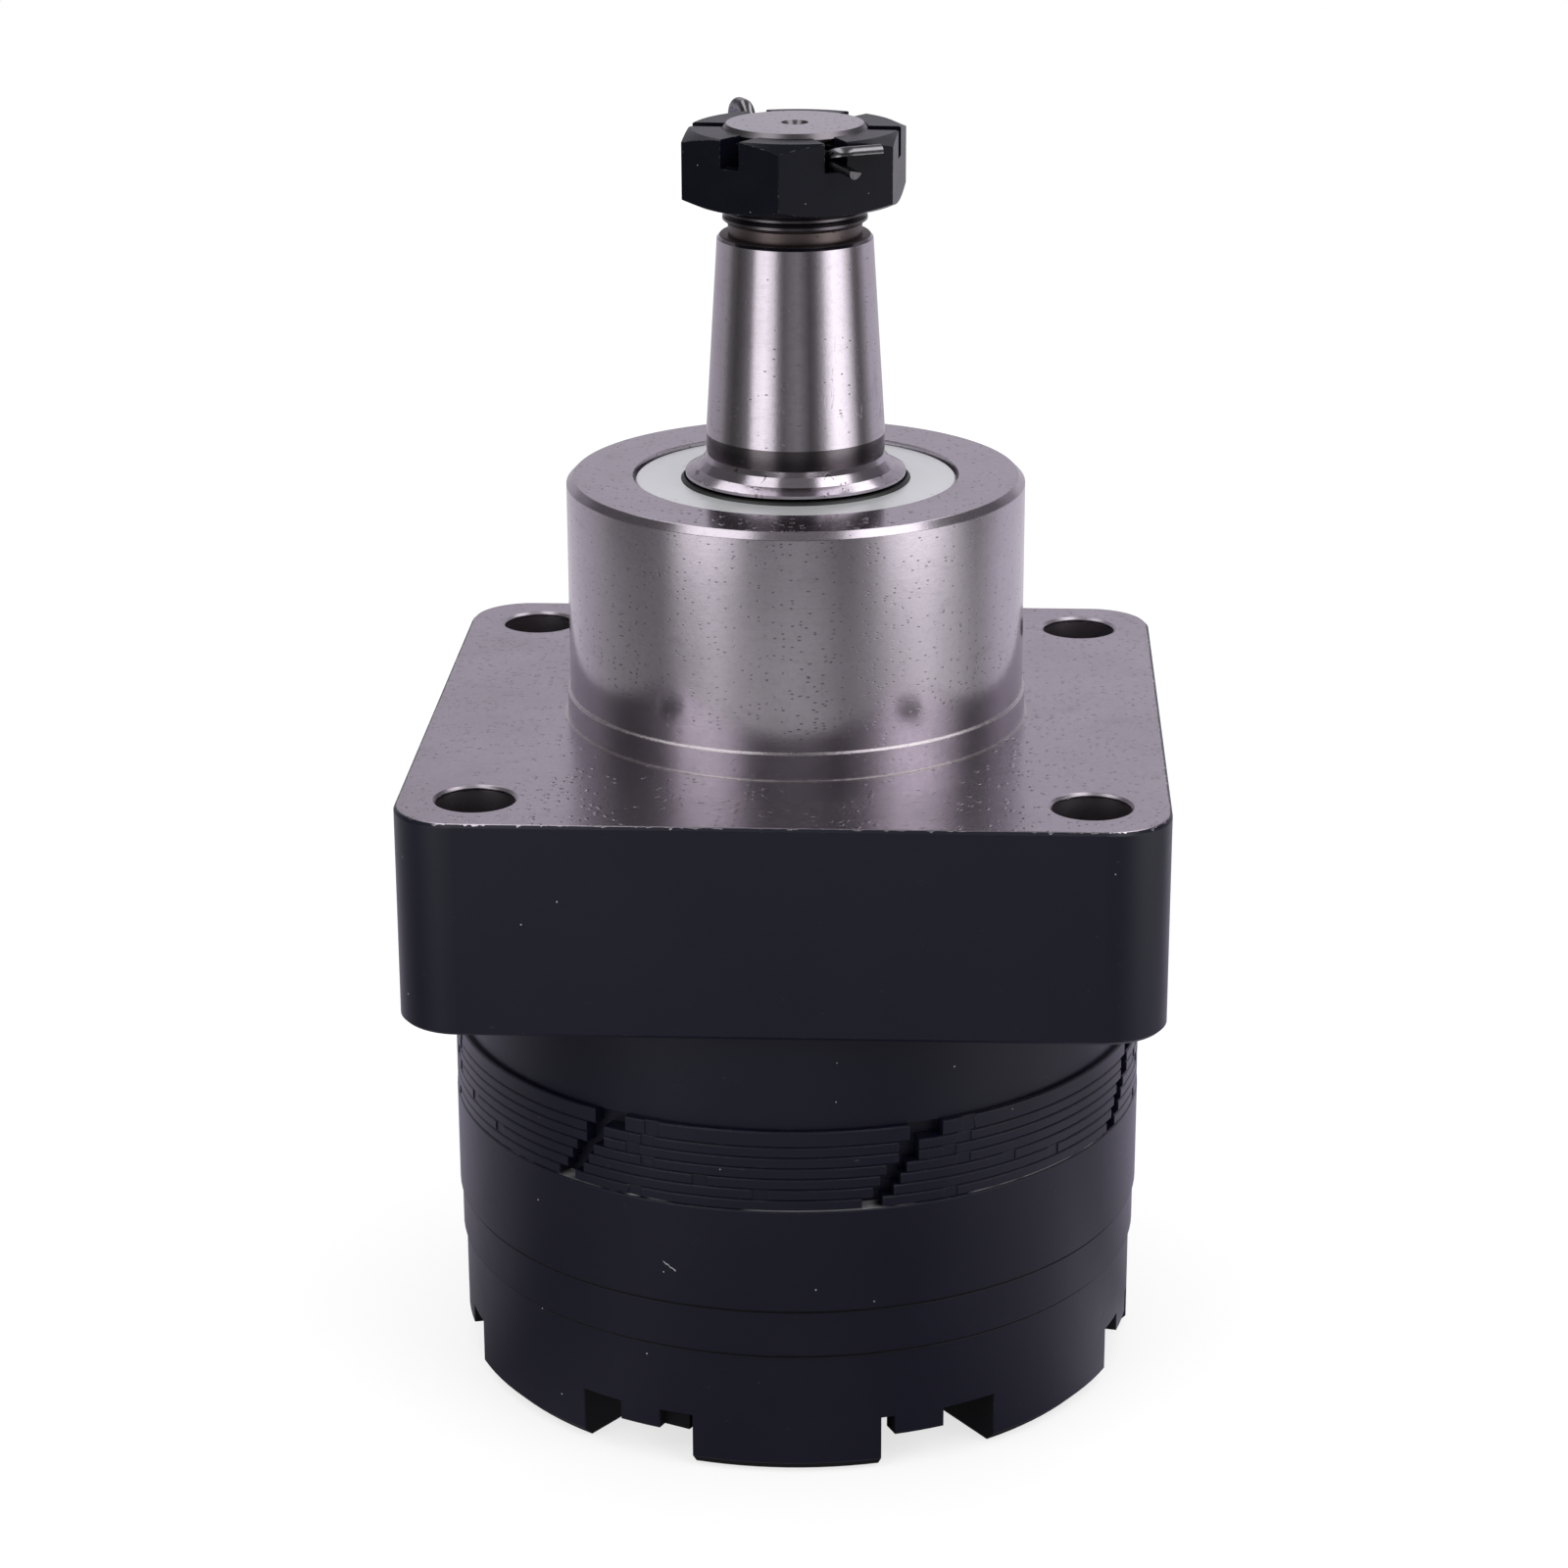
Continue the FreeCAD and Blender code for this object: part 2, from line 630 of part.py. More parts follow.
# Woodruff key in the back of the taper.
key_disc = doc.addObject("Part::Cylinder", "KeyDisc")
key_disc.setExpression("Radius", "Sizes.key_radius - 0.05")
key_disc.setExpression("Height", "2 * Sizes.key_half_width")
key_centre = SIZES["key_centre_radius"] + SIZES["key_rise"]
key_disc.Placement = FreeCAD.Placement(
    FreeCAD.Vector(-SIZES["key_half_width"], key_centre, SIZES["key_height"]),
    FreeCAD.Rotation(FreeCAD.Vector(0, 1, 0), 90))
key_limit = doc.addObject("Part::Box", "KeyLimit")
key_limit.Length = 20.0
key_limit.Width = 20.0
key_limit.Height = 40.0
key_limit.Placement = FreeCAD.Placement(
    FreeCAD.Vector(-10, SIZES["key_top_radius"] - 20.0, SIZES["key_height"] - 20.0), FreeCAD.Rotation())
key = doc.addObject("Part::Common", "shaft_key")
key.Base = key_disc
key.Tool = key_limit
key.Label = "shaft_key"
nodes.append(key)

# --------------------------------------------------------------- slotted nut
nut = new_body("castle_nut")
hexagon = new_sketch(nut, "XY_Plane", "nut_bottom", NUT_SLOT_AZIMUTH)
corner = SIZES["nut_flats"] / math.sqrt(3.0)
hex_points = []
for i in range(6):
    angle = math.radians(60.0 * i)
    hex_points.append(FreeCAD.Vector(corner * math.cos(angle), corner * math.sin(angle), 0))
for i in range(6):
    hexagon.addGeometry(Part.LineSegment(hex_points[i], hex_points[(i + 1) % 6]), False)
for i in range(6):
    hexagon.addConstraint(Sketcher.Constraint("Coincident", i, 2, (i + 1) % 6, 1))
guide = hexagon.addGeometry(Part.Circle(FreeCAD.Vector(0, 0, 0), FreeCAD.Vector(0, 0, 1), corner), True)
hexagon.addConstraint(Sketcher.Constraint("Coincident", guide, 3, -1, 1))
for i in range(6):
    hexagon.addConstraint(Sketcher.Constraint("PointOnObject", i, 1, guide))
for i in range(5):
    hexagon.addConstraint(Sketcher.Constraint("Equal", i, i + 1))
hexagon.addConstraint(Sketcher.Constraint("PointOnObject", 0, 1, -1))
size_rule = hexagon.addConstraint(Sketcher.Constraint("Radius", guide, corner))
hexagon.setExpression("Constraints[%d]" % size_rule, "Sizes.nut_flats / sqrt(3)")
pad(nut, hexagon, "nut_top-nut_bottom")
turned_profile(nut, [
    ("nut_crown_radius", "nut_top+0.01"), ("nut_corner_reach", "nut_top+0.01"),
    ("nut_corner_reach", "nut_top-nut_crown_drop")], "Groove")
turned_profile(nut, [
    ("nut_crown_radius", "nut_bottom-0.01"), ("nut_corner_reach", "nut_bottom-0.01"),
    ("nut_corner_reach", "nut_bottom+nut_crown_drop")], "Groove")
turned_profile(nut, [
    ("0", "nut_bottom-1"), ("nut_bore", "nut_bottom-1"),
    ("nut_bore", "nut_top+1"), ("0", "nut_top+1")], "Groove")
slots = new_sketch(nut, "XY_Plane", "nut_top", NUT_SLOT_AZIMUTH)
draw_outline(slots, [
    ("-nut_slot_half", "-nut_corner_reach"), ("nut_slot_half", "-nut_corner_reach"),
    ("nut_slot_half", "-10"), ("-nut_slot_half", "-10")])
around_axis(nut, pocket(nut, slots, "nut_slot_depth"), slots, 6)
nodes.append(nut)

# ---------------------------------------------------------------- cotter pin
# One half-round wire with its flat side inward: bent upper leg, run through the
# shaft, eye, run back, lower leg.
leg_radius = size_of("cotter_leg_radius")
pin_height = size_of("cotter_height")
leg_rise = 0.03
outward = direction(NUT_SLOT_AZIMUTH)
sideways = FreeCAD.Vector(-outward.y, outward.x, 0)


def pin_point_at(out, side, up):
    """Point on the pin, from the shaft axis: along its hole, across it and up."""
    point = outward * out + sideways * side
    point.z = pin_height + up
    return point


def rounded_wire(corners):
    """Straight runs joined by tangent arcs, from (point, bend radius) pairs."""
    edges = []
    start = corners[0][0]
    for i in range(1, len(corners) - 1):
        point, radius = corners[i]
        before = (corners[i - 1][0] - point).normalize()
        after = (corners[i + 1][0] - point).normalize()
        half_turn = (math.pi - before.getAngle(after)) / 2.0
        reach = radius * math.tan(half_turn)
        inward = (before + after).normalize() * (radius / math.cos(half_turn) - radius)
        arc = Part.Arc(point + before * reach, point + inward, point + after * reach)
        edges.append(Part.makeLine(start, point + before * reach))
        edges.append(arc.toShape())
        start = point + after * reach
    edges.append(Part.makeLine(start, corners[-1][0]))
    return Part.Wire(edges)


leg_lift = leg_rise + 1.4
upper_end = pin_point_at(19.9, 7.5, leg_lift)
pin_path = rounded_wire([
    (upper_end, 0.0),
    (pin_point_at(19.9, 0.0, leg_lift), 2.0),
    (pin_point_at(14.6, 0.0, leg_rise), 2.0),
    (pin_point_at(-20.5, 0.0, leg_rise), 2.0),
    (pin_point_at(-22.8, 0.0, 3.0), 2.0),
    (pin_point_at(-28.0, 0.0, 3.0), 2.2),
    (pin_point_at(-28.0, 0.0, -3.0), 2.2),
    (pin_point_at(-22.8, 0.0, -3.0), 2.0),
    (pin_point_at(-20.5, 0.0, -leg_rise), 2.0),
    (pin_point_at(18.6, 0.0, -leg_rise), 3.0),
    (pin_point_at(23.1, 1.6, -leg_rise - 1.0), 0.0)])
flat_start = upper_end - outward * leg_radius
flat_end = upper_end + outward * leg_radius
crest = upper_end + FreeCAD.Vector(0, 0, leg_radius)
section = Part.Wire([Part.makeLine(flat_start, flat_end), Part.Arc(flat_end, crest, flat_start).toShape()])
cotter = doc.addObject("Part::Feature", "cotter_pin")
cotter.Shape = pin_path.makePipeShell([section], True, False)
cotter.Label = "cotter_pin"
nodes.append(cotter)
print("cotter pin volume over section times length",
      round(cotter.Shape.Volume / (0.5 * math.pi * leg_radius ** 2 * pin_path.Length), 4))

# ------------------------------------------------------- valve and balance ring
valve = new_body("rotary_valve")
turned_profile(valve, [
    ("valve_bore", "-valve_face"), ("valve_radius", "-valve_face"), ("valve_radius", "-valve_top"),
    ("valve_hub_radius", "-valve_top"), ("valve_hub_radius", "-valve_hub_end"),
    ("valve_bore", "-valve_hub_end")])
ring_of_holes(valve, "-valve_top-4", "valve_face-valve_top", "inner_port_circle", "valve_port_radius", 0.0, 6)
side_ports = new_sketch(valve, "XY_Plane", "-valve_top-3", 30.0)
draw_outline(side_ports, [
    ("-valve_slot_half", "-valve_slot_inner"), ("valve_slot_half", "-valve_slot_inner"),
    ("valve_slot_half", "-valve_radius-2"), ("-valve_slot_half", "-valve_radius-2")])
around_axis(valve, pocket(valve, side_ports, "valve_slot_depth"), side_ports, 6)
tangs = new_sketch(valve, "XY_Plane", "-valve_hub_end-0.5")
tang_spans = (("-valve_hub_radius+0.4", "-valve_bore-0.6"), ("valve_bore+0.6", "valve_hub_radius-0.4"))
for inner, outer in tang_spans:
    draw_outline(tangs, [(inner, "-tang_half_width"), (outer, "-tang_half_width"),
                         (outer, "tang_half_width"), (inner, "tang_half_width")])
pad(valve, tangs, "tang_depth+0.2")
nodes.append(valve)
balance = turned_part("balance_ring", [
    ("balance_inner", "-balance_bottom"), ("valve_radius-0.5", "-balance_bottom"),
    ("valve_radius-0.5", "-balance_bottom+3"), ("balance_outer", "-balance_bottom+3"),
    ("balance_outer", "-balance_top-3.2"), ("balance_outer-1.6", "-balance_top-3.2"),
    ("balance_outer-1.6", "-balance_top-1.4"), ("balance_outer", "-balance_top-1.4"),
    ("balance_outer", "-balance_top"), ("balance_inner", "-balance_top")])
nodes.append(balance)
balance_seal = doc.addObject("Part::Torus", "balance_seal")
balance_seal.setExpression("Radius1", "Sizes.balance_outer - Sizes.balance_seal_wire - 0.02")
balance_seal.setExpression("Radius2", "Sizes.balance_seal_wire")
balance_seal.Placement.Base = FreeCAD.Vector(0, 0, -SIZES["balance_seal_height"])
balance_seal.Label = "balance_seal"
nodes.append(balance_seal)
nodes.append(turned_part("balance_spring", [
    ("spring_inner", "-spring_high"), ("spring_inner", "-spring_high-spring_thick"),
    ("spring_outer", "-spring_low-spring_thick"), ("spring_outer", "-spring_low")]))

# ---------------------------------------------------------- manifold plates
plate_top = "-rear_face"
for i in range(PLATE_COUNT):
    thick = "first_plate_thick" if i == 0 else "plate_thick"
    plate = new_body("manifold_plate_%d" % (i + 1))
    disc = new_sketch(plate, "XY_Plane", plate_top + "-" + thick)
    draw_circle(disc, "plate_radius")
    draw_circle(disc, "plate_bore")
    pad(plate, disc, thick)
    break_outer_rims(plate, "plate_radius")
    ring_of_holes(plate, plate_top, thick, "bolt_circle_radius", "bolt_hole_radius", BOLT_AZIMUTH)
    ring_of_holes(plate, plate_top, thick, "inner_port_circle", "inner_port_radius", 3.0 * i)
    ring_of_holes(plate, plate_top, thick, "outer_port_circle", "outer_port_radius",
                  ROLLER_AZIMUTH + SECTOR / 2.0 - 3.0 * i)
    half = "first_notch_half_width" if i == 0 else "notch_half_width"
    for azimuth, floor, width in ((NOTCH_AZIMUTH[i], "notch_floor_radius", half),
                                  (SMALL_NOTCH_AZIMUTH[i], "small_notch_floor", "small_notch_half_width")):
        notch = new_sketch(plate, "XY_Plane", plate_top, azimuth)
        draw_outline(notch, [("-" + width, "-" + floor), (width, "-" + floor),
                             (width, "-plate_radius-2"), ("-" + width, "-plate_radius-2")])
        around_axis(plate, pocket(plate, notch, thick), notch, 7)
    nodes.append(plate)
    plate_top = plate_top + "-" + thick

# --------------------------------------------------------------- roller set
stator = new_body("stator_ring")
stator_ring = new_sketch(stator, "XY_Plane", "-stator_bottom")
draw_circle(stator_ring, "stator_radius")
draw_circle(stator_ring, "stator_bore")
pad(stator, stator_ring, "stator_bottom-stator_top")
break_outer_rims(stator, "stator_radius")
ring_of_holes(stator, "-stator_top", "stator_bottom-stator_top", "roller_circle",
              "roller_pocket_radius", ROLLER_AZIMUTH)
ring_of_holes(stator, "-stator_top", "stator_bottom-stator_top", "bolt_circle_radius",
              "bolt_hole_radius", BOLT_AZIMUTH)
turned_profile(stator, [
    ("seal_groove_inner", "-stator_top+1"), ("seal_groove_outer", "-stator_top+1"),
    ("seal_groove_outer", "-stator_top-seal_groove_depth"),
    ("seal_groove_inner", "-stator_top-seal_groove_depth")], "Groove")
nodes.append(stator)
for i in range(7):
    place = direction(ROLLER_AZIMUTH + SECTOR * i) * SIZES["roller_circle"]
    place.z = -SIZES["stator_bottom"] + SIZES["side_clearance"]
    roller = doc.addObject("Part::Cylinder", "roller_%d" % (i + 1))
    roller.setExpression("Radius", "Sizes.roller_radius")
    roller.setExpression("Height", "Sizes.stator_bottom - Sizes.stator_top - 2 * Sizes.side_clearance")
    roller.Placement = FreeCAD.Placement(place, FreeCAD.Rotation())
    roller.Label = "roller_%d" % (i + 1)
    nodes.append(roller)

# The roller centres run on a trochoid in the rotor's frame; the rotor flank
# is its inner parallel curve at the roller radius plus a running clearance.
orbit = size_of("orbit_offset")
circle_radius = size_of("roller_circle")
inset = size_of("roller_radius") + size_of("roller_clearance")
phase = math.radians(ROLLER_AZIMUTH - 90.0)


def flank_point(turn):
    x = circle_radius * math.cos(turn) - orbit * math.cos(7.0 * turn)
    y = circle_radius * math.sin(turn) - orbit * math.sin(7.0 * turn)
    dx = -circle_radius * math.sin(turn) + 7.0 * orbit * math.sin(7.0 * turn)
    dy = circle_radius * math.cos(turn) - 7.0 * orbit * math.cos(7.0 * turn)
    speed = math.hypot(dx, dy)
    x -= inset * dy / speed
    y += inset * dx / speed
    return FreeCAD.Vector(
        x * math.cos(phase) - y * math.sin(phase), x * math.sin(phase) + y * math.cos(phase), 0)


samples = 360
flank = Part.BSplineCurve()
flank.interpolate([flank_point(2.0 * math.pi * i / samples) for i in range(samples)], PeriodicFlag=True)
rotor_face = Part.Face(Part.Wire([flank.toShape()]))
rotor_height = size_of("stator_bottom") - size_of("stator_top") - 2.0 * size_of("side_clearance")
rotor_blank = doc.addObject("Part::Feature", "RotorBlank")
rotor_blank.Shape = rotor_face.extrude(FreeCAD.Vector(0, 0, rotor_height))
rotor_shift = FreeCAD.Vector(orbit * math.cos(phase), orbit * math.sin(phase), 0)
rotor_bottom = size_of("stator_bottom") - size_of("side_clearance")
rotor_base = FreeCAD.Vector(rotor_shift.x, rotor_shift.y, -rotor_bottom)
rotor_blank.Placement = FreeCAD.Placement(rotor_base, FreeCAD.Rotation())


def star(outer, inner, half_width, length, grows):
    """Splined bar: a round core with straight-sided teeth."""
    shape = Part.makeCylinder(inner, length)
    for tooth in range(SPLINE_TEETH):
        bar = Part.makeBox(2.0 * half_width, outer, length, FreeCAD.Vector(-half_width, -outer, 0))
        bar.rotate(FreeCAD.Vector(0, 0, 0), FreeCAD.Vector(0, 0, 1), 360.0 * tooth / SPLINE_TEETH + grows)
        shape = shape.fuse(bar)
    return shape.removeSplitter()


rotor_spline = doc.addObject("Part::Feature", "RotorSpline")
rotor_spline.Shape = star(size_of("spline_major"), size_of("spline_minor"),
                          size_of("spline_groove_half"), rotor_height + 2.0, 0.0)
rotor_spline.Placement = FreeCAD.Placement(rotor_base - FreeCAD.Vector(0, 0, 1), FreeCAD.Rotation())
rotor = doc.addObject("Part::Cut", "rotor_cut")
rotor.Base = rotor_blank
rotor.Tool = rotor_spline
rotor.Label = "rotor"
nodes.append(rotor)

# ---------------------------------------------------- drive link and thrust disc
front_height = -size_of("link_front")
rear_height = -0.5 * (size_of("stator_top") + size_of("stator_bottom"))
front_centre = FreeCAD.Vector(0, 0, front_height)
rear_centre = FreeCAD.Vector(rotor_shift.x, rotor_shift.y, rear_height)
link_run = rear_centre - front_centre
head_half = size_of("link_head_half")
tail_run = (size_of("link_tail_end") - size_of("link_front")) / abs(link_run.z) * link_run.Length


def crowned_head(centre):
    """Splined end with rounded tooth tips, so the tilted link can rock."""
    teeth = star(size_of("link_tip"), size_of("link_root"), size_of("link_tooth_half"), 2.0 * head_half, 0.0)
    barrel = Part.makeSphere(size_of("link_tip") + size_of("link_crown"), FreeCAD.Vector(0, 0, head_half))
    teeth = teeth.common(barrel)
    teeth.translate(FreeCAD.Vector(0, 0, centre - head_half))
    return teeth


link_shape = Part.makeCylinder(size_of("link_neck"), link_run.Length)
link_shape = link_shape.fuse(crowned_head(0.0))
link_shape = link_shape.fuse(crowned_head(link_run.Length))
link_shape = link_shape.fuse(Part.makeCylinder(
    size_of("link_tail_radius"), tail_run - link_run.Length, FreeCAD.Vector(0, 0, link_run.Length)))
drive_link = doc.addObject("Part::Feature", "drive_link")
drive_link.Shape = link_shape.removeSplitter()
# The link keeps its teeth in phase with the shaft while its axis leans.
lean = FreeCAD.Rotation(FreeCAD.Vector(0, 0, -1), link_run) * FreeCAD.Rotation(FreeCAD.Vector(1, 0, 0), 180)
drive_link.Placement = FreeCAD.Placement(front_centre, lean)
drive_link.Label = "drive_link"
nodes.append(drive_link)
socket_height = 0.5 * (size_of("disc_top") + size_of("link_tail_end"))
socket_share = (socket_height - size_of("link_front")) / abs(link_run.z)
thrust_blank = ring("thrust_disc_blank", "0", "disc_radius", "-disc_bottom", "-disc_top")
socket = doc.addObject("Part::Cylinder", "DiscSocket")
socket.setExpression("Radius", "Sizes.disc_socket_radius")
socket.setExpression("Height", "Sizes.disc_socket_depth")
socket.Placement = FreeCAD.Placement(
    FreeCAD.Vector(rotor_shift.x * socket_share, rotor_shift.y * socket_share, -SIZES["disc_socket_floor"]),
    FreeCAD.Rotation())
thrust_disc = doc.addObject("Part::Cut", "thrust_disc_cut")
thrust_disc.Base = thrust_blank
thrust_disc.Tool = socket
thrust_disc.Label = "link_thrust_disc"
nodes.append(thrust_disc)

# --------------------------------------------------- wear plate and end cover
wear = new_body("wear_plate")
wear_disc = new_sketch(wear, "XY_Plane", "-wear_bottom")
draw_circle(wear_disc, "wear_radius")
draw_circle(wear_disc, "wear_bore")
pad(wear, wear_disc, "wear_bottom-stator_bottom")
break_outer_rims(wear, "wear_radius")
ring_of_holes(wear, "-stator_bottom", "wear_bottom-stator_bottom", "bolt_circle_radius",
              "bolt_hole_radius", BOLT_AZIMUTH)
turned_profile(wear, [
    ("seal_groove_inner", "-stator_bottom+1"), ("seal_groove_outer", "-stator_bottom+1"),
    ("seal_groove_outer", "-stator_bottom-seal_groove_depth"),
    ("seal_groove_inner", "-stator_bottom-seal_groove_depth")], "Groove")
nodes.append(wear)

cover = new_body("end_cover")
turned_profile(cover, [
    ("0", "-pocket_floor"), ("hub_recess_radius", "-pocket_floor"), ("hub_recess_radius", "-end_bottom"),
    ("end_radius-end_edge", "-end_bottom"), ("end_radius", "-end_bottom+end_edge"),
    ("end_radius", "-wear_bottom-plate_edge"), ("end_radius-plate_edge", "-wear_bottom"),
    ("0", "-wear_bottom")])
wide = new_sketch(cover, "XY_Plane", "-lug_bottom", ROLLER_AZIMUTH)
draw_outline(wide, [
    ("-pocket_inner_half", "-pocket_inner_radius"), ("pocket_inner_half", "-pocket_inner_radius"),
    ("pocket_outer_half", "-pocket_outer_radius"), ("-pocket_outer_half", "-pocket_outer_radius")])
around_axis(cover, pocket(cover, wide, "end_bottom-lug_bottom+1"), wide, 7)
for i, (lug_left, lug_right) in enumerate(LUG_SPANS):
    deep = new_sketch(cover, "XY_Plane", "-lug_bottom-0.5", ROLLER_AZIMUTH + SECTOR * i)
    left_text = "%.1f" % lug_left
    right_text = "%.1f" % lug_right
    lug_side = [(right_text, "-lug_inner_radius")]
    if i == WEBBED_LUG:
        lug_side = [(right_text, "-web_outer_radius"), ("web_end", "-web_outer_radius"),
                    ("web_end", "-lug_inner_radius")]
    draw_outline(deep, [
        ("-pocket_inner_half", "-pocket_inner_radius"), ("pocket_inner_half", "-pocket_inner_radius"),
        ("pocket_outer_half", "-pocket_outer_radius"), (right_text, "-pocket_outer_radius"),
        *lug_side, (left_text, "-lug_inner_radius"),
        (left_text, "-pocket_outer_radius"), ("-pocket_outer_half", "-pocket_outer_radius")])
    pocket(cover, deep, "lug_bottom-pocket_floor+0.5", True)
ring_of_holes(cover, "-wear_bottom", "end_bottom-wear_bottom", "bolt_circle_radius",
              "bolt_hole_radius", BOLT_AZIMUTH)
ring_of_holes(cover, "-bolt_seat", "end_bottom-bolt_seat+1", "bolt_circle_radius",
              "counterbore_radius", BOLT_AZIMUTH)
turned_profile(cover, [
    ("seal_groove_inner", "-wear_bottom+1"), ("seal_groove_outer", "-wear_bottom+1"),
    ("seal_groove_outer", "-wear_bottom-seal_groove_depth"),
    ("seal_groove_inner", "-wear_bottom-seal_groove_depth")], "Groove")
nodes.append(cover)

# ------------------------------------------------------ bolts and section seals
bolt_parts = []
for i in range(7):
    turn = BOLT_AZIMUTH + SECTOR * i
    place = direction(turn) * SIZES["bolt_circle_radius"]
    spin = FreeCAD.Rotation(FreeCAD.Vector(0, 0, 1), turn)
    shank = doc.addObject("Part::Cylinder", "BoltShank")
    shank.setExpression("Radius", "Sizes.bolt_radius")
    shank.setExpression("Height", "Sizes.bolt_seat - Sizes.bolt_tip")
    shank.Placement = FreeCAD.Placement(FreeCAD.Vector(place.x, place.y, -SIZES["bolt_seat"]), spin)
    head = doc.addObject("Part::Cylinder", "BoltHead")
    head.setExpression("Radius", "Sizes.bolt_head_radius")
    head.setExpression("Height", "Sizes.bolt_head_end - Sizes.bolt_seat")
    head.Placement = FreeCAD.Placement(FreeCAD.Vector(place.x, place.y, -SIZES["bolt_head_end"]), spin)
    socket_hex = doc.addObject("Part::Prism", "BoltSocket")
    socket_hex.Polygon = 6
    socket_hex.setExpression("Circumradius", "Sizes.bolt_socket_flats / sqrt(3)")
    socket_hex.setExpression("Height", "Sizes.bolt_socket_depth")
    socket_hex.Placement = FreeCAD.Placement(FreeCAD.Vector(place.x, place.y, -SIZES["bolt_head_end"]), spin)
    bolt_solid = doc.addObject("Part::Fuse", "BoltSolid")
    bolt_solid.Base = shank
    bolt_solid.Tool = head
    bolt = doc.addObject("Part::Cut", "Bolt")
    bolt.Base = bolt_solid
    bolt.Tool = socket_hex
    bolt_parts.append(bolt)
bolts = doc.addObject("Part::Compound", "cover_bolts")
bolts.Links = bolt_parts
bolts.Label = "cover_bolts"
nodes.append(bolts)

seal_parts = []
for height in ("-rear_face+0.65", "-stator_top-0.65", "-stator_bottom-0.65", "-wear_bottom-0.65"):
    seal = doc.addObject("Part::Torus", "SectionSeal")
    seal.setExpression("Radius1", "Sizes.seal_ring_radius")
    seal.setExpression("Radius2", "Sizes.seal_ring_wire")
    seal.Placement = FreeCAD.Placement(FreeCAD.Vector(0, 0, number_of(height)), FreeCAD.Rotation())
    seal_parts.append(seal)
seals = doc.addObject("Part::Compound", "section_seals")
seals.Links = seal_parts
seals.Label = "section_seals"
nodes.append(seals)

# ------------------------------------------------------------------- output
doc.recompute()
for obj in doc.Objects:
    if "Invalid" in obj.State or "Error" in obj.State:
        raise RuntimeError("feature failed: %s %s" % (obj.Label, obj.State))
for node in nodes:
    if node.Shape.isNull() or not node.Shape.isValid():
        raise RuntimeError("bad shape: " + node.Label)
    node.Shape.exportStep("parts/%s.step" % node.Label)
    print(node.Label, len(node.Shape.Solids), round(node.Shape.Volume, 1))
print("nodes", len(nodes))
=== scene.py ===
# Looks of the hydraulic wheel motor: every CAD node keeps its shape and gets a
# node-built finish, in a plain studio with the camera in front of and above it.
import json
import math

import bpy
from mathutils import Matrix, Vector


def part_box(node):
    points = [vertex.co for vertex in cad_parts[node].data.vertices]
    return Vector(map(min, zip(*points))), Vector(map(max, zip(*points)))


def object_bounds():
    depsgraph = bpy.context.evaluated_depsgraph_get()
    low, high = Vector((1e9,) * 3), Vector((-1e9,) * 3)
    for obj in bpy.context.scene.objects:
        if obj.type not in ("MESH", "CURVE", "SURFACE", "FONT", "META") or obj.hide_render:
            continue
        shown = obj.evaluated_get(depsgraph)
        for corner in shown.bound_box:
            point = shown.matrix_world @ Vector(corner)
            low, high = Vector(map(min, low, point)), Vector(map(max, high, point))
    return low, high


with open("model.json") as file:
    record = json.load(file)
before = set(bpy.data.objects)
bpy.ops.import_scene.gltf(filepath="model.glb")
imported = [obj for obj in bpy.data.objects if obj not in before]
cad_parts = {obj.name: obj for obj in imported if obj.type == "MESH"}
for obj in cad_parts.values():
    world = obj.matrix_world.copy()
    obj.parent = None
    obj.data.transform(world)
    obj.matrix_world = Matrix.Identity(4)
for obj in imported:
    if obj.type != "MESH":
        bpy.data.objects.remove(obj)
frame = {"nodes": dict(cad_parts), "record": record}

CAD_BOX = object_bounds()
NODES = frame["nodes"]
FLOOR_HEIGHT = CAD_BOX[0].z

# Places on the part in millimetres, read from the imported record's mounts and the
# nodes' boxes.  The mounting face is at height 0.
MOUNTS = {mount["name"]: mount for mount in frame["record"]["mounts"]}
BOLT_HALF = 0.5 * MOUNTS["mounting_bolts"]["dims"]["spacing_x_mm"]
HOLE_RADIUS = MOUNTS["mounting_bolts"]["dims"]["hole_r_mm"]
PORT_X, PORT_Y, PORT_Z = [1000.0 * v for v in MOUNTS["port_right"]["pos_m"]]
PORT_SPOT_RADIUS = 16.1
PILOT_RADIUS = MOUNTS["pilot"]["dims"]["r_mm"]
PILOT_LENGTH = MOUNTS["pilot"]["dims"]["length_mm"]
NOSE_RADIUS = PILOT_RADIUS - 0.475
BORES_RADIUS = 42.0
FLANGE_HALF = 1000.0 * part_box("housing")[1].x
STATOR_TOP = 1000.0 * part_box("stator_ring")[1].z
STATOR_BOTTOM = 1000.0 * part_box("stator_ring")[0].z
STATOR_RADIUS = FLANGE_HALF - 2.35
COVER_BOTTOM, COVER_TOP = [1000.0 * corner.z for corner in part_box("end_cover")]
COVER_POCKET_TOP = COVER_BOTTOM + 10.0
COVER_POCKET_RADIUS = 62.1
TAPER_START = 1000.0 * MOUNTS["shaft_taper"]["pos_m"][2]
BAND_START = TAPER_START - 3.7
THREAD_START = TAPER_START + 38.0
SHAFT_END = TAPER_START + 54.6
NECK_START = THREAD_START - 2.65

